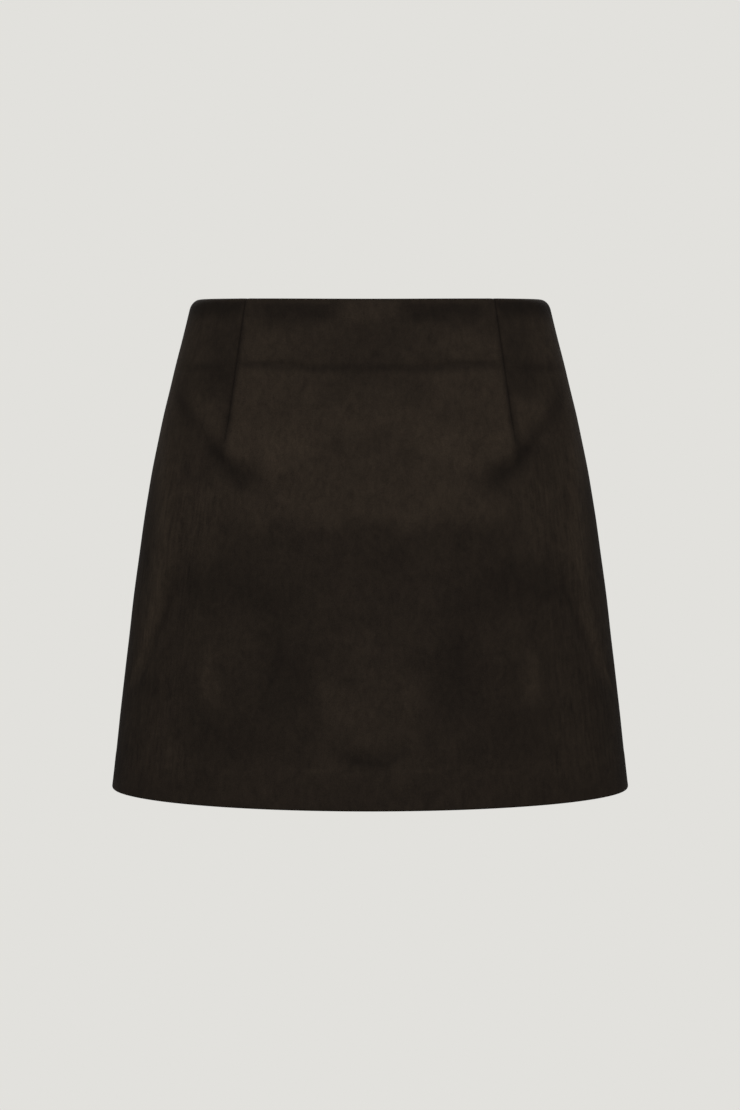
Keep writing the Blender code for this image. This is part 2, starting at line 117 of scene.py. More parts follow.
def stations(first: float, last: float, features: Sequence[float], finest: float, coarsest: float,
             growth: float = 0.22) -> np.ndarray:
    """Places from one end to the other, close together at the ends and at the features.

    Args:
        first: The first place.
        last: The last place.
        features: Places that a station has to fall on.
        finest: The step at a feature.
        coarsest: The longest step.
        growth: How much longer a step is for each unit of distance from a feature.

    Returns:
        The places in order.
    """
    samples = 600
    kept = [feature for feature in features if first < feature < last]
    anchors = sorted({first, last, *kept})
    placed = [first]
    for near, far in zip(anchors, anchors[1:]):
        at = np.linspace(near, far, samples)
        steps = np.minimum(coarsest, finest + growth * np.minimum(at - near, far - at))
        density = 1 / steps
        counted = np.concatenate([[0.0], np.cumsum((density[1:] + density[:-1]) / 2 * np.diff(at))])
        number = max(1, math.ceil(counted[-1]))
        placed.extend(np.interp(np.linspace(0, counted[-1], number + 1)[1:], counted, at))
    return np.array(placed)


def lengths_along(points: Points, axis: int) -> Grid:
    """How far each point of a grid lies along one axis of the grid, from its first point."""
    steps = np.linalg.norm(np.diff(points, axis=axis), axis=-1)
    first = np.zeros_like(np.take(steps, [0], axis=axis))
    return np.concatenate([first, np.cumsum(steps, axis=axis)], axis=axis)


def grid_normals(points: Points) -> Points:
    """The unit directions across a grid of points: down its columns, then along its rows."""
    across = np.cross(np.gradient(points, axis=0), np.gradient(points, axis=1))
    return across / np.linalg.norm(across, axis=-1, keepdims=True)


@dataclass(frozen=True)
class SmoothCurve:
    """A smooth curve through a table of drops and values, both in millimetres."""

    drops: tuple[float, ...]
    values: tuple[float, ...]

    def at(self, drop: Grid) -> Grid:
        """The value at each drop, in metres."""
        knots, values = np.asarray(self.drops) * MM, np.asarray(self.values) * MM
        slopes = np.gradient(values, knots)
        first = np.clip(np.searchsorted(knots, drop) - 1, 0, len(knots) - 2)
        span = knots[first + 1] - knots[first]
        t = (drop - knots[first]) / span
        ends = values[first] * (1 + 2 * t) * (1 - t) ** 2 + values[first + 1] * t**2 * (3 - 2 * t)
        return ends + span * (slopes[first] * t * (1 - t) ** 2 + slopes[first + 1] * t**2 * (t - 1))


@dataclass(frozen=True)
class Unevenness:
    """The slight, smooth unevenness of cloth, the same on both sides of the centre."""

    seed: int
    height: float
    longest: float
    shortest: float
    waves: int = 14

    def at(self, points: Points) -> Grid:
        """How far the cloth stands out at each point."""
        chance = np.random.default_rng(self.seed)
        total = np.zeros(points.shape[:-1])
        for _ in range(self.waves):
            heading = chance.normal(size=3)
            number = math.tau / chance.uniform(self.shortest, self.longest)
            across, deep, tall = heading / np.linalg.norm(heading) * number
            phase = chance.uniform(0, math.tau)
            along = points[..., 1] * deep + points[..., 2] * tall + phase
            total += np.cos(points[..., 0] * across) * np.cos(along)
        return total * self.height / math.sqrt(self.waves)


def link_mesh(name: str, points: Points, faces: np.ndarray,
              materials: np.ndarray) -> bpy.types.Object:
    """A new smooth object from points and four-sided faces, with its faces pointing out.

    Args:
        name: The object's name.
        points: One row for each vertex.
        faces: One row of four vertex numbers for each face.
        materials: The material number of each face.

    Returns:
        The object.
    """
    a, b, c, d = (points[faces[:, corner]] for corner in range(4))
    volume = (a * np.cross(b, c)).sum() + (a * np.cross(c, d)).sum()
    ordered = faces if volume > 0 else faces[:, ::-1]
    mesh = bpy.data.meshes.new(name)
    mesh.vertices.add(len(points))
    mesh.vertices.foreach_set("co", points.astype(np.float32).ravel())
    mesh.loops.add(ordered.size)
    mesh.loops.foreach_set("vertex_index", ordered.astype(np.int32).ravel())
    mesh.polygons.add(len(ordered))
    mesh.polygons.foreach_set("loop_start", np.arange(0, ordered.size, 4, dtype=np.int32))
    mesh.polygons.foreach_set("material_index", materials.astype(np.int32))
    mesh.update(calc_edges=True)
    mesh.validate()
    mesh.shade_smooth()
    mesh.set_sharp_from_angle(angle=SHARP_EDGE)
    thing = bpy.data.objects.new(name, mesh)
    bpy.context.scene.collection.objects.link(thing)
    return thing


def store_values(thing: bpy.types.Object, name: str, values: Points) -> None:
    """Keeps three numbers for each vertex of an object, for its material to read."""
    attribute = thing.data.attributes.new(name, "FLOAT_VECTOR", "POINT")
    attribute.data.foreach_set("vector", values.astype(np.float32).ravel())


@dataclass
class ClothShell:
    """One or more closed thin shells that become one object.

    Attributes:
        name: The object's name.
    """

    name: str

    def __post_init__(self) -> None:
        """Starts with no shells."""
        self.points: list[Points] = []
        self.faces: list[np.ndarray] = []
        self.materials: list[np.ndarray] = []
        self.places: list[Points] = []
        self.painted_light_and_naps: list[Points] = []
        self.count = 0

    def add(self, right: Points, wrong: Points, nap: Points | float = 0.0,
            right_material: int = 0, wrong_material: int = 1) -> None:
        """Adds a shell between two grids of points.

        Args:
            right: The right side's points.
            wrong: The wrong side's points, in the same rows and columns.
            nap: How much lighter each point is painted, with painted light and shade and the nap's
                tone, how combed it is, and the point's turn.
            right_material: The material number of the right side and the cut edges.
            wrong_material: The material number of the wrong side.
        """
        rows, columns = right.shape[:2]
        near = np.arange(rows * columns).reshape(rows, columns) + self.count
        far = near + rows * columns
        sheets = [self._patch(near), self._patch(far)[:, ::-1]]
        rims = [
            self._rim(near[0], far[0]),
            self._rim(far[-1], near[-1]),
            self._rim(far[:, 0], near[:, 0]),
            self._rim(near[:, -1], far[:, -1]),
        ]
        numbers = [np.full(len(sheets[0]), right_material), np.full(len(sheets[1]), wrong_material)]
        numbers += [np.full(len(rim), right_material) for rim in rims]
        self.faces += [*sheets, *rims]
        self.materials += numbers
        across, down = lengths_along(right, 1), lengths_along(right, 0)
        place = np.stack([across, down, np.zeros_like(down)], -1)
        laid = np.broadcast_to(np.asarray(nap, float), (rows, columns, 3))
        for side in (right, wrong):
            self.points.append(side.reshape(-1, 3))
            self.places.append(place.reshape(-1, 3))
            self.painted_light_and_naps.append(laid.reshape(-1, 3))
        self.count += 2 * rows * columns

    @staticmethod
    def _patch(index: np.ndarray) -> np.ndarray:
        """The faces of a grid of vertex numbers."""
        corners = (index[:-1, :-1], index[1:, :-1], index[1:, 1:], index[:-1, 1:])
        return np.stack([corner.ravel() for corner in corners], -1)

    @staticmethod
    def _rim(near: np.ndarray, far: np.ndarray) -> np.ndarray:
        """The faces between two lines of vertex numbers."""
        return np.stack([near[:-1], near[1:], far[1:], far[:-1]], -1)

    def build(self, *materials: bpy.types.Material) -> bpy.types.Object:
        """Makes the object, with its materials and the values that they read."""
        parts = (np.concatenate(part) for part in (self.points, self.faces, self.materials))
        shape = link_mesh(self.name, *parts)
        for material in materials:
            shape.data.materials.append(material)
        # Painted light and shade, with the nap's own tone, kept for the suede to read.
        store_values(shape, "nap", np.concatenate(self.painted_light_and_naps))
        store_values(shape, "cloth_place", np.concatenate(self.places))
        return shape


def attach(piece: bpy.types.Object, body: str, slot: Slot, *nodes: str) -> bpy.types.Object:
    """Makes a piece ride on a body and stand for the nodes, whose parts it hides."""
    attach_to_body(piece, body)
    if nodes:
        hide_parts(*nodes)
    LOG.info("%s: %d faces", piece.name, len(piece.data.polygons))
    return piece


# ---- The skirt's form ----


@dataclass(frozen=True)
class Section:
    """A section of the skirt, in millimetres: its drop, half width, and depth to front and back."""

    drop: float
    half_width: float
    front: float
    back: float


@dataclass(frozen=True)
class Dart:
    """A waist dart, the same on each side: its turn, and how long its sewn line is."""

    turn: float
    length: float


@dataclass(frozen=True)
class Stroke:
    """A fold, crease or bulge that follows a path over the cloth, or the painted light and shade
    along one.

    Attributes:
        name: What it is.
        path: Its turns in degrees and drops in millimetres, from end to end.
        half_width: Half its width, in millimetres.
        amount: How far it stands out in millimetres, or how much lighter it is painted.
        sides: The sides that it is on.
    """

    name: str
    path: tuple[tuple[float, float], ...]
    half_width: float
    amount: float
    sides: tuple[Side, ...] = (Side.LEFT, Side.RIGHT)


@dataclass(frozen=True)
class PaintedLightAndNapZone:
    """A part of the skirt painted lighter or darker, on both sides of the centre: mostly painted
    light and shade of its form, partly the nap's own tone.

    Attributes:
        name: What it is.
        turns: The turns that it lies between, in degrees.
        drops: The drops that it lies between, in millimetres.
        soft_turns: How wide its two soft edges are, in degrees.
        soft_drops: How tall its soft top and bottom are, in millimetres.
        amount: How much lighter it is.
        combed: How much of it is combed into long streaks.
    """

    name: str
    turns: tuple[float, float]
    drops: tuple[float, float]
    soft_turns: tuple[float, float]
    soft_drops: tuple[float, float]
    amount: float
    combed: float = 0.0


SKIRT_SECTIONS = (
    Section(0, 133.5, 92.0, 86.0),
    Section(28, 140.9, 95.5, 93.0),
    Section(56, 148.4, 99.0, 100.0),
    Section(101, 159.0, 105.0, 110.0),
    Section(155, 169.0, 111.5, 118.5),
    Section(210, 176.9, 118.0, 124.0),
    Section(265, 183.6, 124.5, 127.0),
    Section(319, 190.1, 131.3, 130.0),
    Section(366, 195.5, 137.0, 133.0),
)

# The largest folds, which the solids have too
MAIN_FOLDS = (
    Stroke("hip pull", ((72, 75), (60, 103), (51, 124), (40, 135)), 6.5, -2.2),
    Stroke("lip over the hip pull", ((60, 83), (54, 97), (49, 112), (37, 121)), 6.0, 0.9),
    Stroke("side flute", ((76, 92), (71, 147), (69, 195), (74, 245)), 12.0, 1.6),
    Stroke("edge of the side flute", ((61, 172), (63, 215), (69, 252), (80, 296)), 9.0, -1.8),
    Stroke("print of the turned-in waist", ((50, 46), (33, 48), (16, 50), (-6, 56)), 4.0, -0.8),
    Stroke("dimple over the hem", ((-12, 324), (0, 328), (12, 324)), 6.0, -0.8),
    Stroke("seat pull", ((108, 84), (119, 110), (130, 132), (143, 141)), 7.0, -2.0),
    Stroke("back side flute", ((104, 120), (108, 170), (110, 215), (104, 262)), 12.0, 1.4),
    Stroke("edge of the back side flute",
           ((117, 185), (114, 225), (108, 262), (99, 300)), 9.0, -1.6),
    Stroke("fall from the seat", ((158, 212), (156, 262), (153, 312), (151, 366)), 15.0, -2.2),
    Stroke("back print of the turned-in waist",
           ((130, 47), (146, 48), (160, 48), (176, 50)), 4.0, -0.7),
)

# The finer creases and bulges
FINE_FOLDS = (
    Stroke("crease over the hip", ((88, 50), (73, 52), (60, 53)), 3.2, -0.55),
    Stroke("hollow beside the dart", ((60, 47), (57, 62), (55, 80)), 5.0, -0.40),
    Stroke("line of the hip pull", ((72, 76), (61, 102), (51, 121), (39, 136)), 5.0, -0.28),
    Stroke("bulge under the dart", ((50, 106), (44, 114), (37, 122)), 3.6, 0.45),
    Stroke("waist hollow", ((14, 12), (22, 14), (30, 12), (38, 9)), 5.5, -0.40),
    Stroke("sharp line of the turned-in waist",
           ((49, 46), (36, 47), (24, 49), (12, 51)), 1.5, -0.28),
    Stroke("inner edge of the side flute",
           ((64.5, 144), (63.6, 186), (66.5, 223), (72.5, 266)), 3.5, -0.50),
    Stroke("bulge on the lower side", ((51.5, 246), (51, 270), (49.5, 298)), 7.6, 0.55),
    Stroke("hollow behind the bulge", ((59, 256), (59.5, 280), (57.5, 304)), 6.0, -0.30),
    Stroke("bulge beside the middle", ((15, 276), (13, 290), (11, 304)), 7.4, 0.32),
    Stroke("hollow beside the middle", ((25, 262), (24, 284), (28, 312)), 9.0, -0.50),
    Stroke("long fall under the belly", ((30, 205), (29, 250), (31, 300)), 13.0, -0.55),
    Stroke("long swell under the belly", ((43, 225), (42, 260), (40, 300)), 12.0, 0.40),
    Stroke("lower hollow", ((51, 308), (43, 320), (36, 322)), 7.0, -0.40),
    Stroke("line over the hem", ((28, 337), (20, 338), (12, 338)), 1.8, 0.22),
    Stroke("edge of the dimple", ((-9, 318), (0, 321), (9, 318)), 3.0, 0.25),
    Stroke("crease behind the hip", ((92, 51), (104, 54), (116, 55)), 3.4, -0.50),
    Stroke("sharp line of the seat pull",
           ((110, 88), (120, 110), (130, 129), (140, 138)), 2.8, -0.50),
    Stroke("lip over the seat pull", ((122, 100), (131, 116), (142, 127)), 6.0, 0.70),
    Stroke("soft line under the seat", ((178, 203), (160, 208), (140, 204)), 9.0, -0.60),
    Stroke("swell of the seat", ((160, 120), (157, 145), (154, 172)), 22.0, 0.70),
    Stroke("left fall from the seat",
           ((140, 236), (137, 280), (133, 330)), 9.0, -0.55, (Side.LEFT,)),
    Stroke("right fall from the seat",
           ((136, 222), (134, 262), (138, 318)), 10.0, -0.50, (Side.RIGHT,)),
    Stroke("left bulge on the back hem",
           ((124, 282), (121, 306), (118, 330)), 7.0, 0.45, (Side.LEFT,)),
    Stroke("right bulge on the back hem",
           ((119, 270), (118, 298), (121, 322)), 6.0, 0.45, (Side.RIGHT,)),
    Stroke("drag beside the zip", ((176, 62), (171, 96), (168, 132)), 5.0, -0.40),
    Stroke("drag at the zip's end", ((178, 182), (172, 196), (165, 204)), 4.0, -0.50),
)

# Parts painted lighter or darker: mostly painted light and shade, such as the lit belly, seat and
# upper sides, the darker rims of the sides and the shaded hollows under edges, partly the nap's own
# tone; the combed share gives the nap's long streaks.
PAINTED_LIGHT_AND_NAP_ZONES = (
    PaintedLightAndNapZone("waist band", (-1, 51.3), (14, 47), (1, 1.5), (12, 6), 0.12),
    PaintedLightAndNapZone("light end of the waist band", (30, 51.2), (26, 44), (14, 1.5), (12, 5), 0.19),
    PaintedLightAndNapZone("middle of the waist band", (-1, 13), (22, 60), (1, 12), (16, 14), -0.09),
    PaintedLightAndNapZone("dark under the waist edge", (16, 44), (4, 18), (8, 14), (3, 12), -0.20),
    PaintedLightAndNapZone("light top of the middle", (-1, 13), (2, 13), (1, 6), (2, 8), 0.20),
    PaintedLightAndNapZone("dark corner of the waist", (53, 91), (2, 13), (1.5, 1), (4, 13), -0.27),
    PaintedLightAndNapZone("belly", (-1, 51.0), (52, 108), (1, 1.6), (7, 30), 0.34),
    PaintedLightAndNapZone("belly under the darts", (-1, 43.0), (108, 162), (1, 18), (30, 18), 0.34),
    PaintedLightAndNapZone("middle of the belly's top", (-1, 24), (50, 76), (1, 18), (8, 24), -0.18),
    PaintedLightAndNapZone("beside the dart", (52.8, 74), (45, 66), (1.2, 14), (8, 20), -0.11),
    PaintedLightAndNapZone("light outside the dart's end", (54, 64), (72, 106), (2, 6), (12, 14), 0.26),
    PaintedLightAndNapZone("light inside the dart's end", (33, 52.3), (96, 122), (10, 2), (20, 14), 0.22),
    PaintedLightAndNapZone("outer hip", (77, 91), (52, 102), (6, 1), (14, 20), 0.06, 0.3),
    PaintedLightAndNapZone("below the hip pull", (50, 66), (132, 192), (12, 8), (14, 26), 0.20, 0.4),
    PaintedLightAndNapZone("edge of the side", (78, 99), (132, 214), (7, 14), (50, 50), -0.19, 0.3),
    PaintedLightAndNapZone("upper side", (64, 86), (14, 130), (10, 6), (14, 50), 0.22, 0.2),
    PaintedLightAndNapZone("side", (56, 91), (110, 350), (10, 1), (30, 20), 0.07, 0.9),
    PaintedLightAndNapZone("lower edge of the side", (80, 98), (214, 362), (8, 14), (40, 8), -0.18),
    PaintedLightAndNapZone("dark shoulder", (40, 61), (190, 216), (16, 8), (26, 28), -0.12),
    PaintedLightAndNapZone("dark band", (22, 40), (200, 230), (16, 14), (24, 28), -0.06),
    PaintedLightAndNapZone("middle of the dark band", (-1, 18), (176, 210), (1, 12), (20, 20), -0.04),
    PaintedLightAndNapZone("light over the lower dark", (37, 48), (226, 262), (7, 6), (14, 16), 0.08),
    PaintedLightAndNapZone("light beside the middle", (8, 22), (208, 246), (8, 8), (16, 20), 0.05),
    PaintedLightAndNapZone("lower middle", (-1, 11), (244, 312), (1, 14), (36, 20), 0.16),
    PaintedLightAndNapZone("light around the dimple", (-1, 17), (308, 346), (1, 12), (10, 16), 0.10),
    PaintedLightAndNapZone("lower dark", (19, 35), (256, 300), (9, 10), (30, 28), -0.07),
    PaintedLightAndNapZone("outer lower dark", (34, 55), (300, 330), (14, 12), (24, 18), -0.09),
    PaintedLightAndNapZone("dark of the lower side", (66, 82), (272, 326), (8, 8), (30, 24), -0.10, 0.4),
    PaintedLightAndNapZone("dark of the hem's corner", (76, 91), (326, 352), (6, 1), (12, 10), -0.10),
    PaintedLightAndNapZone("combed lower side", (54, 66), (298, 350), (5, 5), (14, 16), 0.05, 0.6),
    PaintedLightAndNapZone("hem", (18, 44), (334, 362), (10, 10), (10, 6), 0.04),
    PaintedLightAndNapZone("back waist band", (133, 181), (12, 48), (2, 1), (12, 6), 0.12),
    PaintedLightAndNapZone("dark under the back waist edge", (140, 172), (3, 12), (8, 8), (3, 9), -0.10),
    PaintedLightAndNapZone("seat", (133, 181), (56, 122), (2, 1), (10, 30), 0.28),
    PaintedLightAndNapZone("seat under the darts", (140, 181), (122, 172), (16, 1), (30, 28), 0.28),
    PaintedLightAndNapZone("beside the back dart", (120, 131.2), (48, 84), (9, 1.4), (14, 18), -0.12),
    PaintedLightAndNapZone("upper back side", (94, 118), (14, 130), (6, 10), (14, 50), 0.18, 0.2),
    PaintedLightAndNapZone("back side", (91, 122), (110, 350), (1, 10), (30, 20), 0.06, 0.9),
    PaintedLightAndNapZone("under the seat", (122, 176), (198, 228), (10, 8), (18, 22), -0.13),
    PaintedLightAndNapZone("lower back", (166, 181), (250, 320), (9, 1), (26, 12), 0.11),
    PaintedLightAndNapZone("lower dark of the back", (140, 158), (262, 312), (8, 8), (20, 20), -0.12),
    PaintedLightAndNapZone("dark of the lower back side", (100, 114), (272, 330), (8, 6), (20, 20), -0.13, 0.4),
)

# Painted light and shade along the folds, creases and bulges: painted shade in their troughs and
# hollows, painted highlights and glints on their ridges.
PAINTED_LIGHT_AND_SHADE_STROKES = (
    Stroke("trough of the hip pull",
           ((76, 60), (67, 86), (56, 110), (46, 129), (33, 146)), 7.4, -0.24),
    Stroke("upper end of the trough", ((80, 48), (75, 68), (68, 86), (58, 104)), 7.6, -0.20),
    Stroke("light under the dart's end", ((53, 108), (48, 112), (42, 113)), 4.0, 0.13),
    Stroke("dark fall", ((52, 196), (38, 216), (29, 244), (28, 284), (40, 322)), 17.0, -0.09),
    Stroke("light under the hip pull", ((62, 116), (55, 127), (48, 138), (42, 145)), 4.0, 0.12),
    Stroke("waist hollow", ((32, 9), (26, 12), (20, 14), (13, 13)), 3.6, -0.06),
    Stroke("turned-in edge", ((52, 45), (44, 46.5), (33, 46)), 2.2, -0.17),
    Stroke("end of the turned-in edge", ((34, 47), (26, 51), (18, 52.5), (8, 50)), 3.0, -0.22),
    Stroke("crease over the hip", ((80, 55), (70, 50), (56, 48)), 3.6, -0.14),
    Stroke("light of the side flute", ((78, 96), (72.5, 138), (70.3, 178), (71, 218)), 10.5, 0.36),
    Stroke("thin light of the side flute",
           ((70, 176), (70.2, 218), (73, 254), (79, 292)), 6.8, 0.42),
    Stroke("glint of the side flute", ((74.5, 258), (78, 280), (83, 300)), 2.4, 0.34),
    Stroke("dark edge of the side flute",
           ((63.8, 136), (62, 186), (64.6, 220), (69, 254), (74, 290)), 3.8, -0.17),
    Stroke("dark side of the flute",
           ((66, 126), (60, 168), (58, 206), (62, 250), (66, 290)), 8.0, -0.10),
    Stroke("drop of light on the side", ((51.6, 247), (50.8, 270), (50, 294)), 5.6, 0.34),
    Stroke("foot of the drop of light", ((55, 281), (50, 286), (45, 283)), 7.6, 0.15),
    Stroke("inner side of the drop of light", ((50, 256), (48, 273), (46, 288)), 4.6, 0.14),
    Stroke("small arc of light", ((50, 289), (46, 293), (42, 291)), 2.4, 0.14),
    Stroke("light beside the middle", ((17, 264), (14, 285), (11, 306)), 7.4, 0.25),
    Stroke("dark line under the belly", ((30, 236), (29, 256), (31, 276)), 3.0, -0.08),
    Stroke("line over the hem", ((24, 337), (17, 338), (8, 337)), 1.6, 0.13),
    Stroke("short line over the hem", ((45, 340), (42, 341), (38, 341)), 1.4, 0.10),
    Stroke("dimple over the hem", ((-13, 320), (0, 332), (13, 320)), 4.6, -0.30),
    Stroke("seat pull", ((104, 76), (114, 98), (126, 124), (142, 142)), 5.6, -0.24),
    Stroke("light under the seat pull", ((118, 122), (126, 136), (137, 146)), 4.0, 0.10),
    Stroke("back turned-in edge", ((130, 47), (150, 48), (172, 50)), 1.8, -0.14),
    Stroke("light of the back flute", ((100, 104), (106, 150), (109, 190), (108, 236)), 10.0, 0.22),
    Stroke("thin light of the back flute",
           ((110, 196), (106, 236), (101, 270), (96, 296)), 5.0, 0.22),
    Stroke("dark side of the back flute",
           ((117, 150), (119, 200), (115, 246), (110, 290)), 5.4, -0.15),
    Stroke("left light on the back", ((124, 276), (121, 300), (118, 326)), 4.4, 0.20, (Side.LEFT,)),
    Stroke("right light on the back",
           ((119, 268), (118, 290), (121, 314)), 4.4, 0.20, (Side.RIGHT,)),
    Stroke("left light beside the zip's end",
           ((171, 196), (166, 222), (163, 250)), 5.0, 0.12, (Side.LEFT,)),
    Stroke("right light on the seat",
           ((158, 96), (152, 120), (150, 150)), 7.0, 0.08, (Side.RIGHT,)),
)


@dataclass(frozen=True)
class SkirtForm:
    """The shape of the skirt's cloth: its sections, darts, seams, folds and creases."""

    length: float = 366 * MM
    waist_turn_in: float = 46 * MM
    hem_turn_up: float = 28 * MM
    waist_squareness: float = 2.15
    hem_squareness: float = 2.0
    waist_edge_lift: float = 2.4 * MM
    waist_edge_lift_fades: float = 40 * MM
    front_dart: Dart = Dart(52.3 * DEGREES, 107 * MM)
    back_dart: Dart = Dart(132.0 * DEGREES, 122 * MM)
    dart_depth: float = 1.1 * MM
    dart_reach: float = 1.0 * MM
    dart_fades: float = 26 * MM
    dart_point: float = 5 * MM
    dart_lip: float = 0.22 * MM
    dart_lip_at: float = 4.5 * MM
    dart_depth_at_end: float = 0.35
    seam_depth: float = 0.85 * MM
    seam_reach: float = 0.9 * MM
    seam_lip: float = 0.15 * MM
    seam_lip_at: float = 8.0 * MM
    seam_overlap: float = 0.01 * MM
    # Painted shade along the sewn lines of the darts and seams
    sewn_line_painted_shade: float = 0.30
    edge_roll_front: float = 1.6 * MM
    edge_roll_side: float = 7.4 * MM
    edge_roll_power: int = 8
    turned_edge_print: float = 0.22 * MM
    turned_edge_evenness: float = 0.6
    turned_edge_step: float = 3 * MM
    zip_drop: float = 10 * MM
    parted_by: float = 1.4 * MM
    parted_length: float = 7.2 * MM
    parting_fades: float = 4.5 * MM
    smooth_top: float = 30 * MM
    stroke_steps: int = 11
    unevenness: Unevenness = Unevenness(seed=4, height=0.20 * MM, longest=95 * MM, shortest=32 * MM)
    wander: Unevenness = Unevenness(seed=9, height=0.24, longest=90 * MM, shortest=22 * MM)
    drift: Unevenness = Unevenness(seed=13, height=0.22, longest=90 * MM, shortest=22 * MM)

    def _table(self, drop: Grid, field: str) -> Grid:
        """One column of the table of sections, at each drop."""
        drops, values = (
            tuple(getattr(section, name) for section in SKIRT_SECTIONS) for name in ("drop", field)
        )
        return SmoothCurve(drops, values).at(drop)

    def half_width(self, drop: Grid) -> Grid:
        """Half the width between the side seams."""
        return self._table(drop, "half_width")

    def back(self, drop: Grid) -> Grid:
        """How deep the back reaches."""
        return self._table(drop, "back")

    def ring(self, turn: Grid, drop: Grid, inset: Grid | float = 0.0) -> Points:
        """Points of the rounded sections, drawn in by an inset."""
        depth = np.where(np.cos(turn) > 0, self._table(drop, "front"), self.back(drop)) - inset
        square_change = self.hem_squareness - self.waist_squareness
        square = self.waist_squareness + square_change * drop / self.length
        across = (np.abs(np.sin(turn)) / (self.half_width(drop) - inset)) ** square
        reach = (across + (np.abs(np.cos(turn)) / depth) ** square) ** (-1 / square)
        lift = self.waist_edge_lift * (1 - np.abs(np.cos(turn)))
        lift = lift * (1 - smooth_step(drop / self.waist_edge_lift_fades))
        return np.stack([reach * np.sin(turn), -reach * np.cos(turn), lift - drop], axis=-1)

    def normals(self, turn: Grid, drop: Grid) -> Points:
        """The outward directions of the smooth form."""
        step = 0.1 * MM
        down = self.ring(turn, drop + step) - self.ring(turn, drop - step)
        round_body = self.ring(turn + step, drop) - self.ring(turn - step, drop)
        found = np.cross(down, round_body)
        return found / np.linalg.norm(found, axis=-1, keepdims=True)

    def stroke_strength(self, points: Points, stroke: Stroke) -> Grid:
        """How strong a stroke is at each point, up to 1, fading across it and towards its ends."""
        turns = np.array([place[0] for place in stroke.path]) * DEGREES
        drops = np.array([place[1] for place in stroke.path]) * MM
        knots, at = np.linspace(0, 1, len(stroke.path)), np.linspace(0, 1, self.stroke_steps)
        power = len(knots) - 1
        turn, drop = (np.polyval(np.polyfit(knots, values, power), at) for values in (turns, drops))
        line = self.ring(turn, drop)
        nearest = np.full(points.shape[:-1], np.inf)
        place = np.zeros(points.shape[:-1])
        for number, (start, end) in enumerate(zip(line, line[1:])):
            run = end - start
            along = np.clip(((points - start) @ run) / (run @ run), 0, 1)
            gap = np.linalg.norm(points - start - along[..., None] * run, axis=-1)
            closer = gap < nearest
            nearest = np.where(closer, gap, nearest)
            place = np.where(closer, (number + along) / (len(line) - 1), place)
        ends_at_hem = stroke.path[-1][1] * MM >= self.length
        fade = np.sin(np.pi * place * (0.5 if ends_at_hem else 1.0))
        return fade * np.exp(-((nearest / (stroke.half_width * MM)) ** 2))

    def strokes(self, points: Points, table: Sequence[Stroke]) -> Grid:
        """The amounts of a table of strokes, added up at each point."""
        total = np.zeros(points.shape[:-1])
        for stroke in table:
            best = np.zeros(points.shape[:-1])
            for side in stroke.sides:
                seen = points * np.array([side.value, 1, 1])
                best = np.maximum(best, self.stroke_strength(seen, stroke))
            total += stroke.amount * best
        return total

    def dart_line(self, turn: Grid, drop: Grid, dart: Dart) -> Grid:
        """How near a place is to a dart's sewn line: 1 on the line, and 0 beyond its end."""
        apart = np.abs(np.abs(turn) - dart.turn) * self.half_width(drop)
        sewn = smooth_step((dart.length - drop) / self.dart_point)
        return np.exp(-apart / self.dart_reach) * sewn

    def dart_height(self, turn: Grid, drop: Grid, dart: Dart) -> Grid:
        """The groove of a dart's sewn line, between its two soft lips."""
        apart = np.abs(np.abs(turn) - dart.turn) * self.half_width(drop)
        lip = self.dart_lip * np.exp(-(((apart - self.dart_lip_at) / self.dart_lip_at) ** 2) * 2)
        full = smooth_step((dart.length - drop) / self.dart_fades)
        shallow = self.dart_depth_at_end + (1 - self.dart_depth_at_end) * full
        return lip * full - self.dart_depth * shallow * self.dart_line(turn, drop, dart)

    def from_seam(self, turn: Grid, drop: Grid) -> Grid:
        """How far a place is from the nearest seam: a side seam or the centre back."""
        at_side = np.abs(np.abs(turn) - np.pi / 2) * self.half_width(drop)
        return np.minimum(at_side, np.abs(np.abs(turn) - np.pi) * self.back(drop))

    def seam_height(self, turn: Grid, drop: Grid) -> Grid:
        """The troughs of the two side seams and of the centre-back seam."""
        apart = self.from_seam(turn, drop)
        groove = -self.seam_depth * np.exp(-apart / self.seam_reach)
        return groove + self.seam_lip * np.exp(-((apart / self.seam_lip_at) ** 4))

    def hem_height(self, turn: Grid, drop: Grid) -> Grid:
        """How the turned-up edge presses through the cloth, in some places more than in others."""
        waves = np.cos(9 * turn) * np.cos(4 * turn + 1)
        uneven = self.turned_edge_evenness + (1 - self.turned_edge_evenness) * waves
        step = smooth_step((drop - self.length + self.hem_turn_up) / self.turned_edge_step)
        return self.turned_edge_print * step * uneven

    def waist_roll(self, turn: Grid, drop: Grid) -> Grid:
        """How far the waist edge has rolled in, which is most at the side seams."""
        side = np.abs(np.sin(turn)) ** self.edge_roll_power
        radius = self.edge_roll_front + (self.edge_roll_side - self.edge_roll_front) * side
        above = np.clip(radius - drop, 0, None)
        return radius - np.sqrt(np.clip(radius**2 - above**2, 0, None))

    def cloth_height(self, turn: Grid, drop: Grid) -> Grid:
        """How far the cloth stands out of the smooth form in all."""
        smooth = self.ring(turn, drop)
        height = self.strokes(smooth, (*MAIN_FOLDS, *FINE_FOLDS)) * MM
        height += self.dart_height(turn, drop, self.front_dart)
        height += self.dart_height(turn, drop, self.back_dart)
        height += self.seam_height(turn, drop) + self.hem_height(turn, drop)
        return height + self.unevenness.at(smooth) * smooth_step(drop / self.smooth_top)

    def cloth(self, turn: Grid, drop: Grid, inset: Grid | float = 0.0) -> Points:
        """Points of the finished cloth, an inset below its right side."""
        height = self.cloth_height(turn, drop) - inset
        outward = self.normals(turn, drop)
        level = outward * np.array([1, 1, 0])
        rolled = level * self.waist_roll(turn, drop)[..., None]
        return self.ring(turn, drop) + outward * height[..., None] - rolled

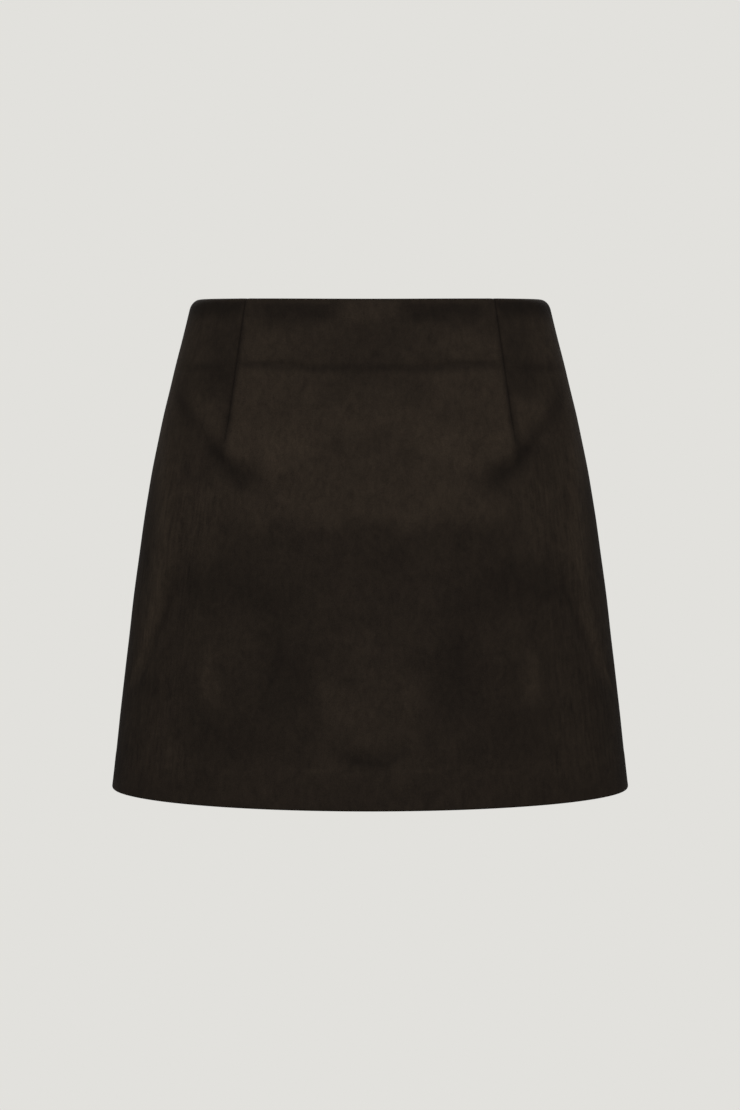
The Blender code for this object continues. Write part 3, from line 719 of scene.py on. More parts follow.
    def nap(self, turn: Grid, drop: Grid) -> Points:
        """How much lighter each place is painted, with painted light and shade and the nap's tone,
        how combed it is, and the turn itself.
        """
        round_body, down = np.abs(turn) / DEGREES, drop / MM
        smooth = self.ring(turn, drop)
        # The tone is painted light and shade, of the folds and of the form, with some of the nap's
        # own tone.
        tone = self.strokes(smooth, PAINTED_LIGHT_AND_SHADE_STROKES)
        combed = np.zeros_like(tone)
        wander, drift = self.wander.at(smooth), self.drift.at(smooth)
        for zone in PAINTED_LIGHT_AND_NAP_ZONES:
            inside = window(round_body, zone.turns, zone.soft_turns, wander)
            inside = inside * window(down, zone.drops, zone.soft_drops, drift)
            tone += zone.amount * inside
            combed += zone.combed * inside
        # Painted shade in the grooves of the darts and seams
        for dart in (self.front_dart, self.back_dart):
            tone -= self.sewn_line_painted_shade * self.dart_line(turn, drop, dart)
        tone -= self.sewn_line_painted_shade * np.exp(-self.from_seam(turn, drop) / self.seam_reach)
        return np.stack([tone, np.clip(combed, 0, 1), turn], axis=-1)

    def back_gap(self, drop: Grid) -> Grid:
        """Half the gap at the centre back, which parts beside the slider's neck."""
        inside = self.parted_length - np.abs(drop - self.zip_drop)
        opened = smooth_step(inside / self.parting_fades)
        return (self.parted_by + self.seam_overlap) * opened - self.seam_overlap

    def place_at_back(self, drop: float) -> Matrix:
        """A place on the centre back: X is the row's, Y points out of the cloth and Z up it."""
        turn, level = np.array([np.pi]), np.array([drop])
        origin = self.ring(turn, level)[0]
        normal = self.normals(turn, level)[0]
        lean = math.atan2(normal[2], normal[1])
        return Matrix.Translation(origin) @ Matrix.Rotation(lean, 4, "X")


FORM = SkirtForm()


# ---- Finishes ----

Colour = tuple[float, float, float]


def from_screen(red: float, green: float, blue: float, strength: float = 1.0) -> Colour:
    """The linear colour of a screen colour that is given out of 255, made stronger or weaker."""
    levels = ((level / 255 + 0.055) / 1.055 for level in (red, green, blue))
    return tuple(strength * level**2.4 for level in levels)


@dataclass(frozen=True)
class Noise:
    """A noise: how many features it has in a metre, their finer detail, and how they are bent."""

    number: float
    detail: float = 2.0
    roughness: float = 0.5
    distortion: float = 0.0


class Wire:
    """A shader socket that can be written in a sum as a number can."""

    def __init__(self, tree: "FinishTree", socket: bpy.types.NodeSocket) -> None:
        """Keeps the socket and the tree that it is in."""
        self.tree = tree
        self.socket = socket

    def maths(self, operation: str, first: "Wire | float", second: "Wire | float" = 0.0) -> "Wire":
        """A Math node on two values."""
        return self.tree.node("ShaderNodeMath", {"operation": operation}, {0: first, 1: second})

    def __add__(self, other: "Wire | float") -> "Wire":
        """Self and other, added."""
        return self.maths("ADD", self, other)

    __radd__ = __add__

    def __mul__(self, other: "Wire | float") -> "Wire":
        """Self times other."""
        return self.maths("MULTIPLY", self, other)

    __rmul__ = __mul__

    def __sub__(self, other: "Wire | float") -> "Wire":
        """Self less other."""
        return self.maths("SUBTRACT", self, other)

    def __rsub__(self, other: "Wire | float") -> "Wire":
        """Other less self."""
        return self.maths("SUBTRACT", other, self)

    def __abs__(self) -> "Wire":
        """Self without its sign."""
        return self.maths("ABSOLUTE", self)

    def wave(self, pitch: float) -> "Wire":
        """A wave from -1 to 1 that repeats at each pitch."""
        return self.maths("SINE", self * (math.tau / pitch))

    def held(self) -> "Wire":
        """Self kept from 0 to 1."""
        return self.tree.node("ShaderNodeClamp", sockets={"Value": self})

    def step(self, low: float, high: float) -> "Wire":
        """A soft step from 0 at the low value to 1 at the high one."""
        settings = {"interpolation_type": "SMOOTHSTEP"}
        return self.tree.node("ShaderNodeMapRange", settings, {"Value": self, 1: low, 2: high})


class FinishTree:
    """Makes the nodes of one material."""

    def __init__(self, name: str) -> None:
        """Starts a material with its usual shader."""
        self.material = bpy.data.materials.new(name)
        self.material.use_nodes = True
        self.nodes = self.material.node_tree.nodes
        self.shader = self.nodes["Principled BSDF"]

    def plug(self, socket: bpy.types.NodeSocket, value: "Wire | float | Sequence[float]") -> None:
        """Sets a socket, or links a wire to it."""
        if isinstance(value, Wire):
            self.material.node_tree.links.new(value.socket, socket)
        else:
            socket.default_value = value

    def node(self, kind: str, settings: dict | None = None, sockets: dict | None = None,
             output: str | int = 0) -> Wire:
        """Makes one node.

        Args:
            kind: The node's type.
            settings: Its settings, which are set first.
            sockets: The values and wires of its sockets, by name or number.
            output: The output that is wanted.

        Returns:
            A wire from that output.
        """
        made = self.nodes.new(kind)
        for name, value in (settings or {}).items():
            setattr(made, name, value)
        for name, value in (sockets or {}).items():
            self.plug(made.inputs[name], value)
        return Wire(self, made.outputs[output])

    def position(self) -> Wire:
        """The place in the object's own coordinates."""
        return self.node("ShaderNodeTexCoord", output="Object")

    def stored(self, name: str) -> tuple[Wire, Wire, Wire]:
        """The three numbers that the mesh keeps for each vertex under a name."""
        found = self.node("ShaderNodeAttribute", {"attribute_name": name}, output="Vector")
        return self.parts(found)

    def parts(self, vector: Wire) -> tuple[Wire, Wire, Wire]:
        """The X, Y and Z of a vector."""
        split = self.node("ShaderNodeSeparateXYZ", sockets={0: vector})
        outputs = split.socket.node.outputs
        return Wire(self, outputs[0]), Wire(self, outputs[1]), Wire(self, outputs[2])

    def vector(self, x: Wire | float, y: Wire | float, z: Wire | float) -> Wire:
        """A vector from its three parts."""
        return self.node("ShaderNodeCombineXYZ", sockets={0: x, 1: y, 2: z})

    def noise(self, vector: Wire, noise: Noise) -> Wire:
        """Noise about 0."""
        sockets = {"Vector": vector, "Scale": noise.number, "Detail": noise.detail,
                   "Roughness": noise.roughness, "Distortion": noise.distortion}
        return self.node("ShaderNodeTexNoise", sockets=sockets) - 0.5

    def blend(self, share: Wire | float, first: "Wire | Colour", second: "Wire | Colour") -> Wire:
        """A mix of two colours."""
        colours = [(*end, 1.0) if isinstance(end, tuple) else end for end in (first, second)]
        sockets = {0: share, 6: colours[0], 7: colours[1]}
        return self.node("ShaderNodeMix", {"data_type": "RGBA"}, sockets, 2)

    def bump(self, height: Wire, distance: float) -> Wire:
        """The normal of a surface whose relief is the height times the distance."""
        sockets = {"Height": height, "Distance": distance, "Strength": 1.0}
        return self.node("ShaderNodeBump", sockets=sockets, output="Normal")

    def finish(self, **values: "Wire | float | Sequence[float]") -> bpy.types.Material:
        """Sets the shader's sockets, whose names are given with _ for each space."""
        for name, value in values.items():
            self.plug(self.shader.inputs[name.replace("_", " ")], value)
        return self.material


@dataclass(frozen=True)
class Suede:
    """Dark brown faux suede, a short nap brushed downwards, painted lighter and darker: painted
    light and shade, and the nap's own tone.

    Attributes:
        dark: The colour at the dark end: painted shade, and the nap's darker tone.
        light: The colour at the light end: painted light, and the nap's lighter tone.
        contrast: How quickly its colour changes from one to the other.
        level: How light it is where nothing is painted lighter or darker.
        patches: Its large patches, blotches its small ones, and mottle how strong both are.
        brushed: Its short brushed marks, and streaks how strong they are.
        long_streaks: Its long streaks where it is combed, and combed how strong they are.
        fibres: Its fibres, grain its grain, and fineness how strong both are.
        marked: How strong all these marks are, and marked_light how much stronger where it is
            painted lighter.
        nap_height: How deep the nap's relief is.
    """

    dark: Colour = from_screen(21.5, 18.0, 15.5, 1.36)
    light: Colour = from_screen(52.0, 44.0, 36.0, 1.36)
    contrast: float = 0.72
    level: float = 0.27
    patches: Noise = Noise(34, 3.0, 0.55, 0.8)
    blotches: Noise = Noise(100, 3.0, 0.55, 0.9)
    mottle: float = 0.62
    brushed: Noise = Noise(330, 2.0, 0.5, 0.3)
    streaks: float = 0.30
    long_streaks: Noise = Noise(420, 3.0, 0.6, 0.2)
    combed: float = 0.62
    fibres: Noise = Noise(1900, 2.0, 0.6)
    grain: Noise = Noise(1000, 3.0, 0.65)
    fineness: float = 0.31
    marked: float = 1.08
    marked_light: float = 1.9
    nap_height: float = 0.10 * MM

    def material(self) -> bpy.types.Material:
        """The right side of the suede."""
        tree = FinishTree("suede")
        position = tree.position()
        x, y, z = tree.parts(position)
        # The stored values: painted light and shade with the nap's own tone, how combed it is, and
        # the turn.
        painted_light_and_nap_tone, combed, turn = tree.stored("nap")
        patches = tree.noise(tree.vector(x, y, z * 0.7), self.patches)
        blotches = tree.noise(tree.vector(x, y, z * 0.8), self.blotches)
        brushed = tree.noise(tree.vector(x, y, z * 0.5), self.brushed)
        long_streaks = tree.noise(tree.vector(turn * 0.16, z * 0.09, 0), self.long_streaks)
        fibres = tree.noise(tree.vector(x, y, z * 0.5), self.fibres)
        grain = tree.noise(position, self.grain)
        mottling = patches * (self.mottle * 0.34) + blotches * (self.mottle * 0.70)
        marks = brushed * self.streaks + long_streaks * combed * self.combed
        marks = mottling + marks + (fibres + grain * 1.6) * self.fineness
        # The tone is the painted light and shade and the nap's tone, with the cloth's own marks on
        # top.
        tone = painted_light_and_nap_tone + marks * (painted_light_and_nap_tone * self.marked_light + self.marked)
        share = (tone * self.contrast + self.level).held()
        return tree.finish(
            Base_Color=tree.blend(share, self.dark, self.light),
            Roughness=(0.90 - tone * 0.06).held(),
            Specular_IOR_Level=0.03,
            Sheen_Weight=0.010,
            Sheen_Roughness=0.40,
            Sheen_Tint=(1.0, 0.90, 0.80, 1.0),
            Normal=tree.bump(fibres + grain * 1.2 + brushed * 1.2, self.nap_height),
        )


@dataclass(frozen=True)
class SuedeBack:
    """The wrong side of the suede: a close, brushed backing with a faint knitted grain."""

    light: Colour = from_screen(46, 38, 32)
    dark: Colour = from_screen(33, 27, 23)
    wale: float = 0.9 * MM
    fuzz: Noise = Noise(1400, 3.0, 0.6)
    patches: Noise = Noise(40)
    relief: float = 0.08 * MM

    def material(self) -> bpy.types.Material:
        """The wrong side's material."""
        tree = FinishTree("suede_back")
        across, down, _ = tree.stored("cloth_place")
        position = tree.position()
        knit = across.wave(self.wale) * down.wave(self.wale)
        fuzz = tree.noise(position, self.fuzz)
        patches = tree.noise(position, self.patches)
        share = (fuzz * 0.7 + patches * 0.7 + knit * 0.08 + 0.5).held()
        return tree.finish(
            Base_Color=tree.blend(share, self.dark, self.light),
            Roughness=0.88,
            Specular_IOR_Level=0.15,
            Sheen_Weight=0.10,
            Sheen_Roughness=0.5,
            Normal=tree.bump(knit * 0.5 + fuzz, self.relief),
        )


@dataclass(frozen=True)
class ShortsKnit:
    """Dark, smooth jersey with fine wales down it and looped courses across it."""

    light: Colour = from_screen(41, 35, 31)
    dark: Colour = from_screen(26, 22, 20)
    wale: float = 0.8 * MM
    course: float = 0.6 * MM
    fuzz: Noise = Noise(1600)
    patches: Noise = Noise(22, 3.0)
    relief: float = 0.12 * MM

    def material(self) -> bpy.types.Material:
        """The knit's material."""
        tree = FinishTree("shorts_knit")
        across, down, _ = tree.stored("cloth_place")
        position = tree.position()
        bent = abs(across.wave(2 * self.wale))
        loops = (down + bent * (0.25 * self.course)).wave(self.course) * (1 - bent * 0.5)
        wales = 1 - bent
        fuzz = tree.noise(position, self.fuzz)
        patches = tree.noise(position, self.patches)
        share = (wales * -0.25 + loops * 0.10 + fuzz * 0.35 + patches * 0.5 + 0.6).held()
        return tree.finish(
            Base_Color=tree.blend(share, self.dark, self.light),
            Roughness=(0.62 + fuzz * 0.2).held(),
            Specular_IOR_Level=0.30,
            Sheen_Weight=0.10,
            Sheen_Roughness=0.4,
            Normal=tree.bump(loops * 0.4 - wales * 0.8 + fuzz * 0.3, self.relief),
        )


@dataclass(frozen=True)
class TapeWeave:
    """The zip's tape: a close herringbone weave."""

    light: Colour = from_screen(44, 37, 32)
    dark: Colour = from_screen(27, 22, 19)
    rib: float = 1.3 * MM
    pick: float = 0.5 * MM
    fuzz: Noise = Noise(1800)
    relief: float = 0.10 * MM

    def material(self) -> bpy.types.Material:
        """The tape's material."""
        tree = FinishTree("zip_tape")
        across, down, _ = tree.stored("cloth_place")
        rib = abs(across.wave(2 * self.rib))
        pick = (down + rib * self.rib * 0.5).wave(self.pick)
        fuzz = tree.noise(tree.position(), self.fuzz)
        share = (pick * 0.25 + rib * 0.3 + fuzz * 0.4 + 0.3).held()
        return tree.finish(
            Base_Color=tree.blend(share, self.dark, self.light),
            Roughness=0.75,
            Specular_IOR_Level=0.25,
            Normal=tree.bump(pick * 0.5 + rib * 0.5, self.relief),
        )


@dataclass(frozen=True)
class Plain:
    """A plain finish with a slight unevenness: thread, nylon coil or enamel.

    Attributes:
        name: The material's name.
        light: Its lighter colour.
        dark: Its darker colour.
        flecks: How many of its flecks there are in a metre.
        roughness: How rough it is, at least and at most.
        specular: How strongly it reflects.
        relief: How deep its grain is.
        coat: How much clear coat it has.
    """

    name: str
    light: Colour
    dark: Colour
    flecks: float
    roughness: tuple[float, float]
    specular: float
    relief: float
    coat: float = 0.0

    def material(self) -> bpy.types.Material:
        """The finish's material."""
        tree = FinishTree(self.name)
        flecks = tree.noise(tree.position(), Noise(self.flecks, 3.0, 0.6))
        low, high = self.roughness
        return tree.finish(
            Base_Color=tree.blend((flecks * 1.4 + 0.5).held(), self.dark, self.light),
            Roughness=(flecks * (high - low) + (low + high) / 2).held(),
            Specular_IOR_Level=self.specular,
            Coat_Weight=self.coat,
            Normal=tree.bump(flecks, self.relief),
        )


THREAD = Plain("thread", from_screen(52, 43, 36), from_screen(30, 24, 20),
               2600, (0.5, 0.7), 0.35, 0.05 * MM)
COIL = Plain("nylon_coil", from_screen(40, 33, 29), from_screen(25, 20, 17),
             900, (0.3, 0.45), 0.5, 0.02 * MM)
ENAMEL = Plain("zip_enamel", from_screen(50, 41, 35), from_screen(37, 30, 26),
               700, (0.36, 0.52), 0.30, 0.015 * MM, coat=0.08)


@dataclass
class Finishes:
    """Every material, made once."""

    def __post_init__(self) -> None:
        """Makes them."""
        self.suede = Suede().material()
        self.suede_back = SuedeBack().material()
        self.knit = ShortsKnit().material()
        self.tape = TapeWeave().material()
        self.thread = THREAD.material()
        self.coil = COIL.material()
        self.enamel = ENAMEL.material()


# ---- Stitches and coils ----


@dataclass(frozen=True)
class Bead:
    """A small, long bead with rounded ends: one stitch, or one turn of a zip's coil.

    Attributes:
        length: How long it is.
        radius: How thick it is, from its middle line.
        sides: How many sides it has.
    """

    length: float
    radius: float
    sides: int = 6

    def template(self) -> tuple[Points, np.ndarray]:
        """The bead's points, with its length along X, and its faces."""
        profile = ((-0.5, 0.45), (-0.32, 1.0), (0.32, 1.0), (0.5, 0.45))  # along, and how thick
        angles = np.arange(self.sides) * math.tau / self.sides
        turned = np.stack([np.ones(self.sides), np.cos(angles), np.sin(angles)], -1)
        sizes = [(at * self.length, wide * self.radius, wide * self.radius) for at, wide in profile]
        points = (turned * np.array(sizes)[:, None]).reshape(-1, 3)
        faces = []
        for ring in range(len(profile) - 1):
            for side in range(self.sides):
                here, after = ring * self.sides + side, ring * self.sides + (side + 1) % self.sides
                faces.append((here, after, after + self.sides, here + self.sides))
        last = (len(profile) - 1) * self.sides
        for base, order in ((0, (3, 2, 1, 0)), (last, (0, 1, 2, 3))):
            faces.append(tuple(base + corner for corner in order))
            faces.append(tuple(base + (corner + 3) % self.sides for corner in order))
        return points, np.array(faces)

    def laid(self, name: str, centres: Points, along: Points, up: Points,
             material: bpy.types.Material) -> bpy.types.Object:
        """One object of many beads.

        Args:
            name: The object's name.
            centres: The middle of each bead.
            along: The direction of each bead's length.
            up: The direction away from what it lies on.
            material: Its finish.

        Returns:
            The object.
        """
        points, faces = self.template()
        forward = along / np.linalg.norm(along, axis=-1, keepdims=True)
        side = np.cross(up, forward)
        side /= np.linalg.norm(side, axis=-1, keepdims=True)
        rise = np.cross(forward, side)
        turned = points @ np.stack([forward, side, rise], 1) + centres[:, None]
        numbers = faces[None] + np.arange(len(centres))[:, None, None] * len(points)
        flat = numbers.reshape(-1, 4)
        shape = link_mesh(name, turned.reshape(-1, 3), flat, np.zeros(len(flat)))
        shape.data.materials.append(material)
        return shape


def spaced_along(line: Points, outward: Points, pitch: float) -> tuple[Points, Points, Points]:
    """Places at an even pitch along a line.

    Args:
        line: The line's points.
        outward: The direction away from the cloth at each of them.
        pitch: How far apart the places are.

    Returns:
        The places, the directions of the line there, and the outward directions there.
    """
    run = lengths_along(line, 0)
    at = np.arange(pitch / 2, run[-1], pitch)
    quarter = pitch / 4
    wanted = ((at, line), (at, outward), (at + quarter, line), (at - quarter, line))
    centres, ups, ahead, behind = (
        np.stack([np.interp(places, run, values[:, i]) for i in range(3)], -1)
        for places, values in wanted
    )
    return centres, ahead - behind, ups


# ---- The skirt ----


@dataclass(frozen=True)
class Rows:
    """The rows of a cloth: the drop and the inset of its right side, and of its wrong side."""

    right_drop: np.ndarray
    right_inset: np.ndarray
    wrong_drop: np.ndarray
    wrong_inset: np.ndarray


@dataclass(frozen=True)
class Panel:
    """One panel of the skirt: its object, its node, the turns of its seams, and its dart lines."""

    name: str
    node: str
    first: float
    last: float
    darts: tuple[float, ...]

    def seams(self) -> tuple[tuple[float, int, bool], ...]:
        """Each seam's turn, the way from it into the panel, and whether it is the centre back."""
        ends = ((self.first, 1), (self.last, -1))
        return tuple((turn, way, math.isclose(abs(turn), math.pi)) for turn, way in ends)


@dataclass
class Skirt:
    """The skirt's three panels, each one cloth turned in at the waist and turned up at the hem."""

    finishes: Finishes
    thickness: float = SUEDE_THICKNESS
    layer_gap: float = 0.10 * MM
    fold_steps: int = 8
    finest_row: float = 0.55 * MM
    coarsest_row: float = 3.3 * MM
    finest_column: float = 0.35 * MM
    coarsest_column: float = 3.1 * MM
    seam_columns: float = 7 * MM
    allowance: float = 11 * MM
    allowance_margin: float = 1.5 * MM
    allowance_thickness: float = 0.96 * MM
    allowance_curl: float = 0.5 * MM
    allowance_steps: tuple[float, float, int] = (1 * MM, 5 * MM, 8)
    closed_below: float = ZIP_END + 9 * MM

    def panels(self) -> tuple[Panel, ...]:
        """The front and the two halves of the back."""
        quarter, front, back = math.pi / 2, FORM.front_dart.turn, FORM.back_dart.turn
        return (
            Panel("suede_front", "skirt_front", -quarter, quarter, (-front, front)),
            Panel("suede_back_left", "skirt_back_left", quarter, math.pi, (back,)),
            Panel("suede_back_right", "skirt_back_right", -math.pi, -quarter, (-back,)),
        )

    def rows(self) -> Rows:
        """The rows from the turned-in edge, over the waist and hem folds, to the turned-up edge."""
        half = self.thickness / 2
        radius = half + self.layer_gap / 2
        centre = self.thickness + self.layer_gap / 2
        top, bottom = radius + half, FORM.length - radius - half
        hem_edge = FORM.length - FORM.hem_turn_up
        bends = np.linspace(0, math.pi, self.fold_steps + 1)[1:-1]
        steps = self.finest_row, self.coarsest_row
        waist_layer = stations(top, FORM.waist_turn_in, (), *steps)[::-1]
        outside = stations(top, bottom, (FORM.waist_turn_in, hem_edge), *steps)
        hem_layer = stations(hem_edge, bottom, (), *steps)[::-1]
        middle = np.concatenate([
            self._layer(waist_layer, centre + radius, 1),
            np.stack([top - radius * np.sin(bends), centre + radius * np.cos(bends),
                      -np.sin(bends), np.cos(bends)], -1),
            self._layer(outside, centre - radius, -1),
            np.stack([bottom + radius * np.sin(bends), centre - radius * np.cos(bends),
                      np.sin(bends), -np.cos(bends)], -1),
            self._layer(hem_layer, centre + radius, 1),
        ])
        drop, inset, out_drop, out_inset = middle.T
        return Rows(drop + half * out_drop, inset + half * out_inset,
                    drop - half * out_drop, inset - half * out_inset)

    @staticmethod
    def _layer(drops: np.ndarray, inset: float, facing: int) -> np.ndarray:
        """Rows of a flat layer: the drop, the inset and the direction that its right side faces."""
        return np.stack([drops, np.full_like(drops, inset), np.zeros_like(drops),
                         np.full_like(drops, facing)], -1)

    def columns(self, panel: Panel, drop: np.ndarray) -> Grid:
        """The turn of each column at each row's drop, close together at the seams and darts."""
        size = FORM.half_width(np.array(FORM.length / 2))
        steps = self.finest_column / size, self.coarsest_column / size
        turns = stations(panel.first, panel.last, panel.darts, *steps)
        grid = np.broadcast_to(turns, (len(drop), len(turns))).copy()
        for seam, sign, at_back in panel.seams():
            width = FORM.back(drop) if at_back else FORM.half_width(drop)
            gap = FORM.back_gap(drop) if at_back else np.full_like(drop, -FORM.seam_overlap)
            near = 1 - smooth_step(np.abs(grid - seam) * width[:, None] / self.seam_columns)
            grid += sign * near * (gap / width)[:, None]
        return grid

    def allowances(self, shell: ClothShell, panel: Panel) -> None:
        """Adds the seam allowances, which are pressed open inside the cloth."""
        lowest = FORM.length - FORM.hem_turn_up - self.allowance_margin
        finest, coarsest, columns = self.allowance_steps
        for seam, sign, at_back in panel.seams():
            highest = self.closed_below if at_back else FORM.waist_turn_in + self.allowance_margin
            drops = stations(highest, lowest, (), finest, coarsest)[::-1]
            reach = np.linspace(0, self.allowance, columns)[::sign]
            drop, across = np.meshgrid(drops, reach, indexing="ij")
            turn = seam + sign * across / FORM.half_width(drop)
            curl = self.allowance_curl * (across / self.allowance) ** 3
            under = self.thickness + self.layer_gap + curl
            shell.add(FORM.cloth(turn, drop, under + self.allowance_thickness),
                      FORM.cloth(turn, drop, under))

    def cut(self, panel: Panel) -> tuple[float, float, float]:
        """The width, length and area of a panel's cloth, flat, without its dart intakes."""
        turns = np.linspace(panel.first, panel.last, 60)
        drop, turn = np.meshgrid(self.rows().right_drop, turns, indexing="ij")
        points = FORM.ring(turn, drop)
        across, down = lengths_along(points, 1)[:, -1], lengths_along(points, 0)
        area = np.trapz(across, down.mean(axis=1))
        return float(across.max()), float(down[-1].mean()), float(area)

    def build(self) -> None:
        """Builds the three panels."""
        rows = self.rows()
        for panel in self.panels():
            turn = self.columns(panel, rows.right_drop)
            drop, under = (
                np.broadcast_to(drops[:, None], turn.shape)
                for drops in (rows.right_drop, rows.wrong_drop)
            )
            right = FORM.cloth(turn, drop, rows.right_inset[:, None])
            wrong = FORM.cloth(turn, under, rows.wrong_inset[:, None])
            outside = (rows.right_inset < self.thickness)[:, None, None]
            shell = ClothShell(panel.name)
            # Only the outside of the cloth gets the painted light and shade and the nap's tone.
            shell.add(right, wrong, np.where(outside, FORM.nap(turn, drop), 0.0))
            self.allowances(shell, panel)
            piece = shell.build(self.finishes.suede, self.finishes.suede_back)
            attach(piece, GARMENT, Slot.SUEDE, panel.node)
            width, length, area = self.cut(panel)
            LOG.info("%s is cut %.0f by %.0f mm", panel.name, width / MM, length / MM)


# ---- The shorts inside ----


@dataclass
class Shorts:
    """The plain shorts sewn inside the skirt: two front and two back panels of jersey."""

    finishes: Finishes
    ease: SmoothCurve = SmoothCurve(
        (38, 50, 77, 103, 155, 200, 235, 305), (3.5, 3.7, 4.6, 5.6, 8.0, 11.5, 16.0, 22.0)
    )
    top: float = 38 * MM
    crotch: float = 235 * MM
    length: float = 305 * MM
    rise_starts: float = 150 * MM
    leg_forms: float = 130 * MM
    thigh_gap: float = 6 * MM
    zip_gap: float = 4 * MM
    zip_end: float = ZIP_END
    rise_from: float = 0.3
    rise_full: float = 0.75
    front_depths: tuple[float, float] = (92 * MM, 87 * MM)
    back_depths: tuple[float, float] = (98 * MM, 90 * MM)
    cloth: float = 1.0 * MM
    seam_overlap: float = FORM.seam_overlap
    seam_depth: float = 0.5 * MM
    seam_reach: float = 1.0 * MM
    usual_width: float = 250 * MM
    leg_middle: float = 80 * MM
    over_tape: float = 1.75 * MM
    over_tape_from: float = 0.75
    over_tape_ramp: float = 0.15
    over_tape_ends: float = ZIP_END + 6 * MM
    over_tape_fades: float = 10 * MM
    hem: float = 18 * MM
    waist_hem: float = 9 * MM
    hem_step: float = 2 * MM
    hem_bulk: float = 0.8
    edge_thins: float = 0.5
    edge_reach: float = 0.4 * MM
    ripple: Unevenness = Unevenness(seed=21, height=0.85 * MM, longest=120 * MM, shortest=38 * MM)
    ripple_starts: float = 30 * MM
    row_steps: tuple[float, float] = (0.3 * MM, 4.2 * MM)
    column_steps: tuple[float, float] = (0.004, 0.018)
    allowance: float = 6 * MM
    allowance_columns: int = 6
    allowance_margins: tuple[float, float] = (1 * MM, 3 * MM)
    allowance_gap: float = 0.08 * MM
    allowance_curl: float = 0.35 * MM
    allowance_thickness: float = 0.7 * MM
    stitch: Bead = Bead(length=2.3 * MM, radius=0.20 * MM)
    stitch_pitch: float = 3.0 * MM
    overlock_pitch: float = 1.8 * MM
    hem_stitches: tuple[float, float] = (2 * MM, 4.5 * MM)
    waist_stitches: tuple[float, float] = (3 * MM, 6.5 * MM)

    def outer(self, side: Side, face: Face, across: Grid, drop: Grid) -> Points:
        """The outer points of a panel: across is 0 at the side seam, 1 at the centre or inseam."""
        turn = side.value * (np.pi / 2 + face.value * across * np.pi / 2)
        ease, over = self.ease.at(drop), np.zeros_like(drop)
        if face is Face.BACK:
            beside = smooth_step((across - self.over_tape_from) / self.over_tape_ramp)
            below = smooth_step((drop - self.over_tape_ends) / self.over_tape_fades)
            over = self.over_tape * beside * (1 - below)
        torso = FORM.ring(turn, drop, ease + over)
        down = np.clip((drop - self.crotch) / (self.length - self.crotch), 0, 1)
        inside, outside = self.thigh_gap * down, FORM.half_width(drop) - ease
        high, low = self.front_depths if face is Face.FRONT else self.back_depths
        swing = across * np.pi
        leg_x = side.value * ((outside + inside) / 2 + (outside - inside) / 2 * np.cos(swing))
        leg_y = face.value * (high + (low - high) * down) * np.sin(swing)
        leg = np.stack([leg_x, leg_y, -drop], axis=-1)
        rise = np.clip((drop - self.rise_starts) / (self.crotch - self.rise_starts), 0, 1)
        at_centre = 1 - np.sqrt(1 - rise**2)
        at_side = smooth_step((drop - self.leg_forms) / (self.crotch - self.leg_forms))
        inwards = smooth_step((across - self.rise_from) / (self.rise_full - self.rise_from))
        share = (at_side + (at_centre - at_side) * inwards)[..., None]
        return torso * (1 - share) + leg * share

    def kept(self, points: Points, side: Side, face: Face, centre_gap: Grid) -> Points:
        """Points held on their own side of the seams, with their edges on the seam lines."""
        held = points.copy()
        held[..., 0] = side.value * np.maximum(side.value * points[..., 0], centre_gap)
        held[..., 1] = face.value * np.maximum(face.value * points[..., 1], -self.seam_overlap)
        above_crotch = points[:, -1, 2] > -self.crotch
        held[above_crotch, -1, 0] = side.value * centre_gap[above_crotch, -1]
        held[~above_crotch, -1, 1] = -face.value * self.seam_overlap
        held[:, 0, 1] = -face.value * self.seam_overlap
        return held

    def sides(self, side: Side, face: Face, drop: Grid,
              across: Grid) -> tuple[Points, Points, Points]:
        """A panel's outer points, its inner points, and the directions out of it."""
        outer = self.outer(side, face, across, drop)
        out = grid_normals(outer)
        middle = np.array([side.value * self.leg_middle, 0, -self.crotch])
        out *= 1 if ((outer - middle) * out).sum() > 0 else -1
        apart = np.minimum(across, 1 - across) * self.usual_width
        seam = -self.seam_depth * np.exp(-apart / self.seam_reach)
        free = smooth_step((drop - self.top) / self.ripple_starts)
        outer = outer + out * (seam + self.ripple.at(outer) * free)[..., None]
        doubled = smooth_step((drop - self.length + self.hem) / self.hem_step)
        doubled += 1 - smooth_step((drop - self.top - self.waist_hem) / self.hem_step)
        round_edge = np.exp(-np.minimum(drop - self.top, self.length - drop) / self.edge_reach)
        thick = self.cloth * (1 + self.hem_bulk * doubled - self.edge_thins * round_edge)
        inner = outer - out * thick[..., None]
        opened = (face is Face.BACK) & (drop < self.zip_end)
        centre_gap = np.where(opened, self.zip_gap, -self.seam_overlap)
        return *(self.kept(grid, side, face, centre_gap) for grid in (outer, inner)), out

    def panel(self, side: Side, face: Face) -> None:
        """Builds one panel with its allowances and stitches."""
        drops = stations(self.top, self.length, (self.rise_starts, self.crotch), *self.row_steps)
        drop, across = np.meshgrid(drops, stations(0, 1, (), *self.column_steps), indexing="ij")
        outer, inner, out = self.sides(side, face, drop, across)
        name = f"jersey_{face.name.lower()}_{side.name.lower()}"
        shell = ClothShell(name)
        shell.add(outer, inner, wrong_material=0)
        under_top, under_zip = self.allowance_margins
        at_side = (drops > self.top + under_top) & (drops < self.length - self.hem)
        at_middle = at_side & (drops > self.zip_end + under_zip) if face is Face.BACK else at_side
        sewn = [self.edge_strip(shell, inner[at_side], out[at_side]),
                self.edge_strip(shell, inner[at_middle][:, ::-1], out[at_middle][:, ::-1])]
        piece = shell.build(self.finishes.knit)
        attach(piece, GARMENT, Slot.SHORTS, name.replace("jersey", "shorts"))
        stitches = self.stitches(name, drops, outer, inner, out, sewn)

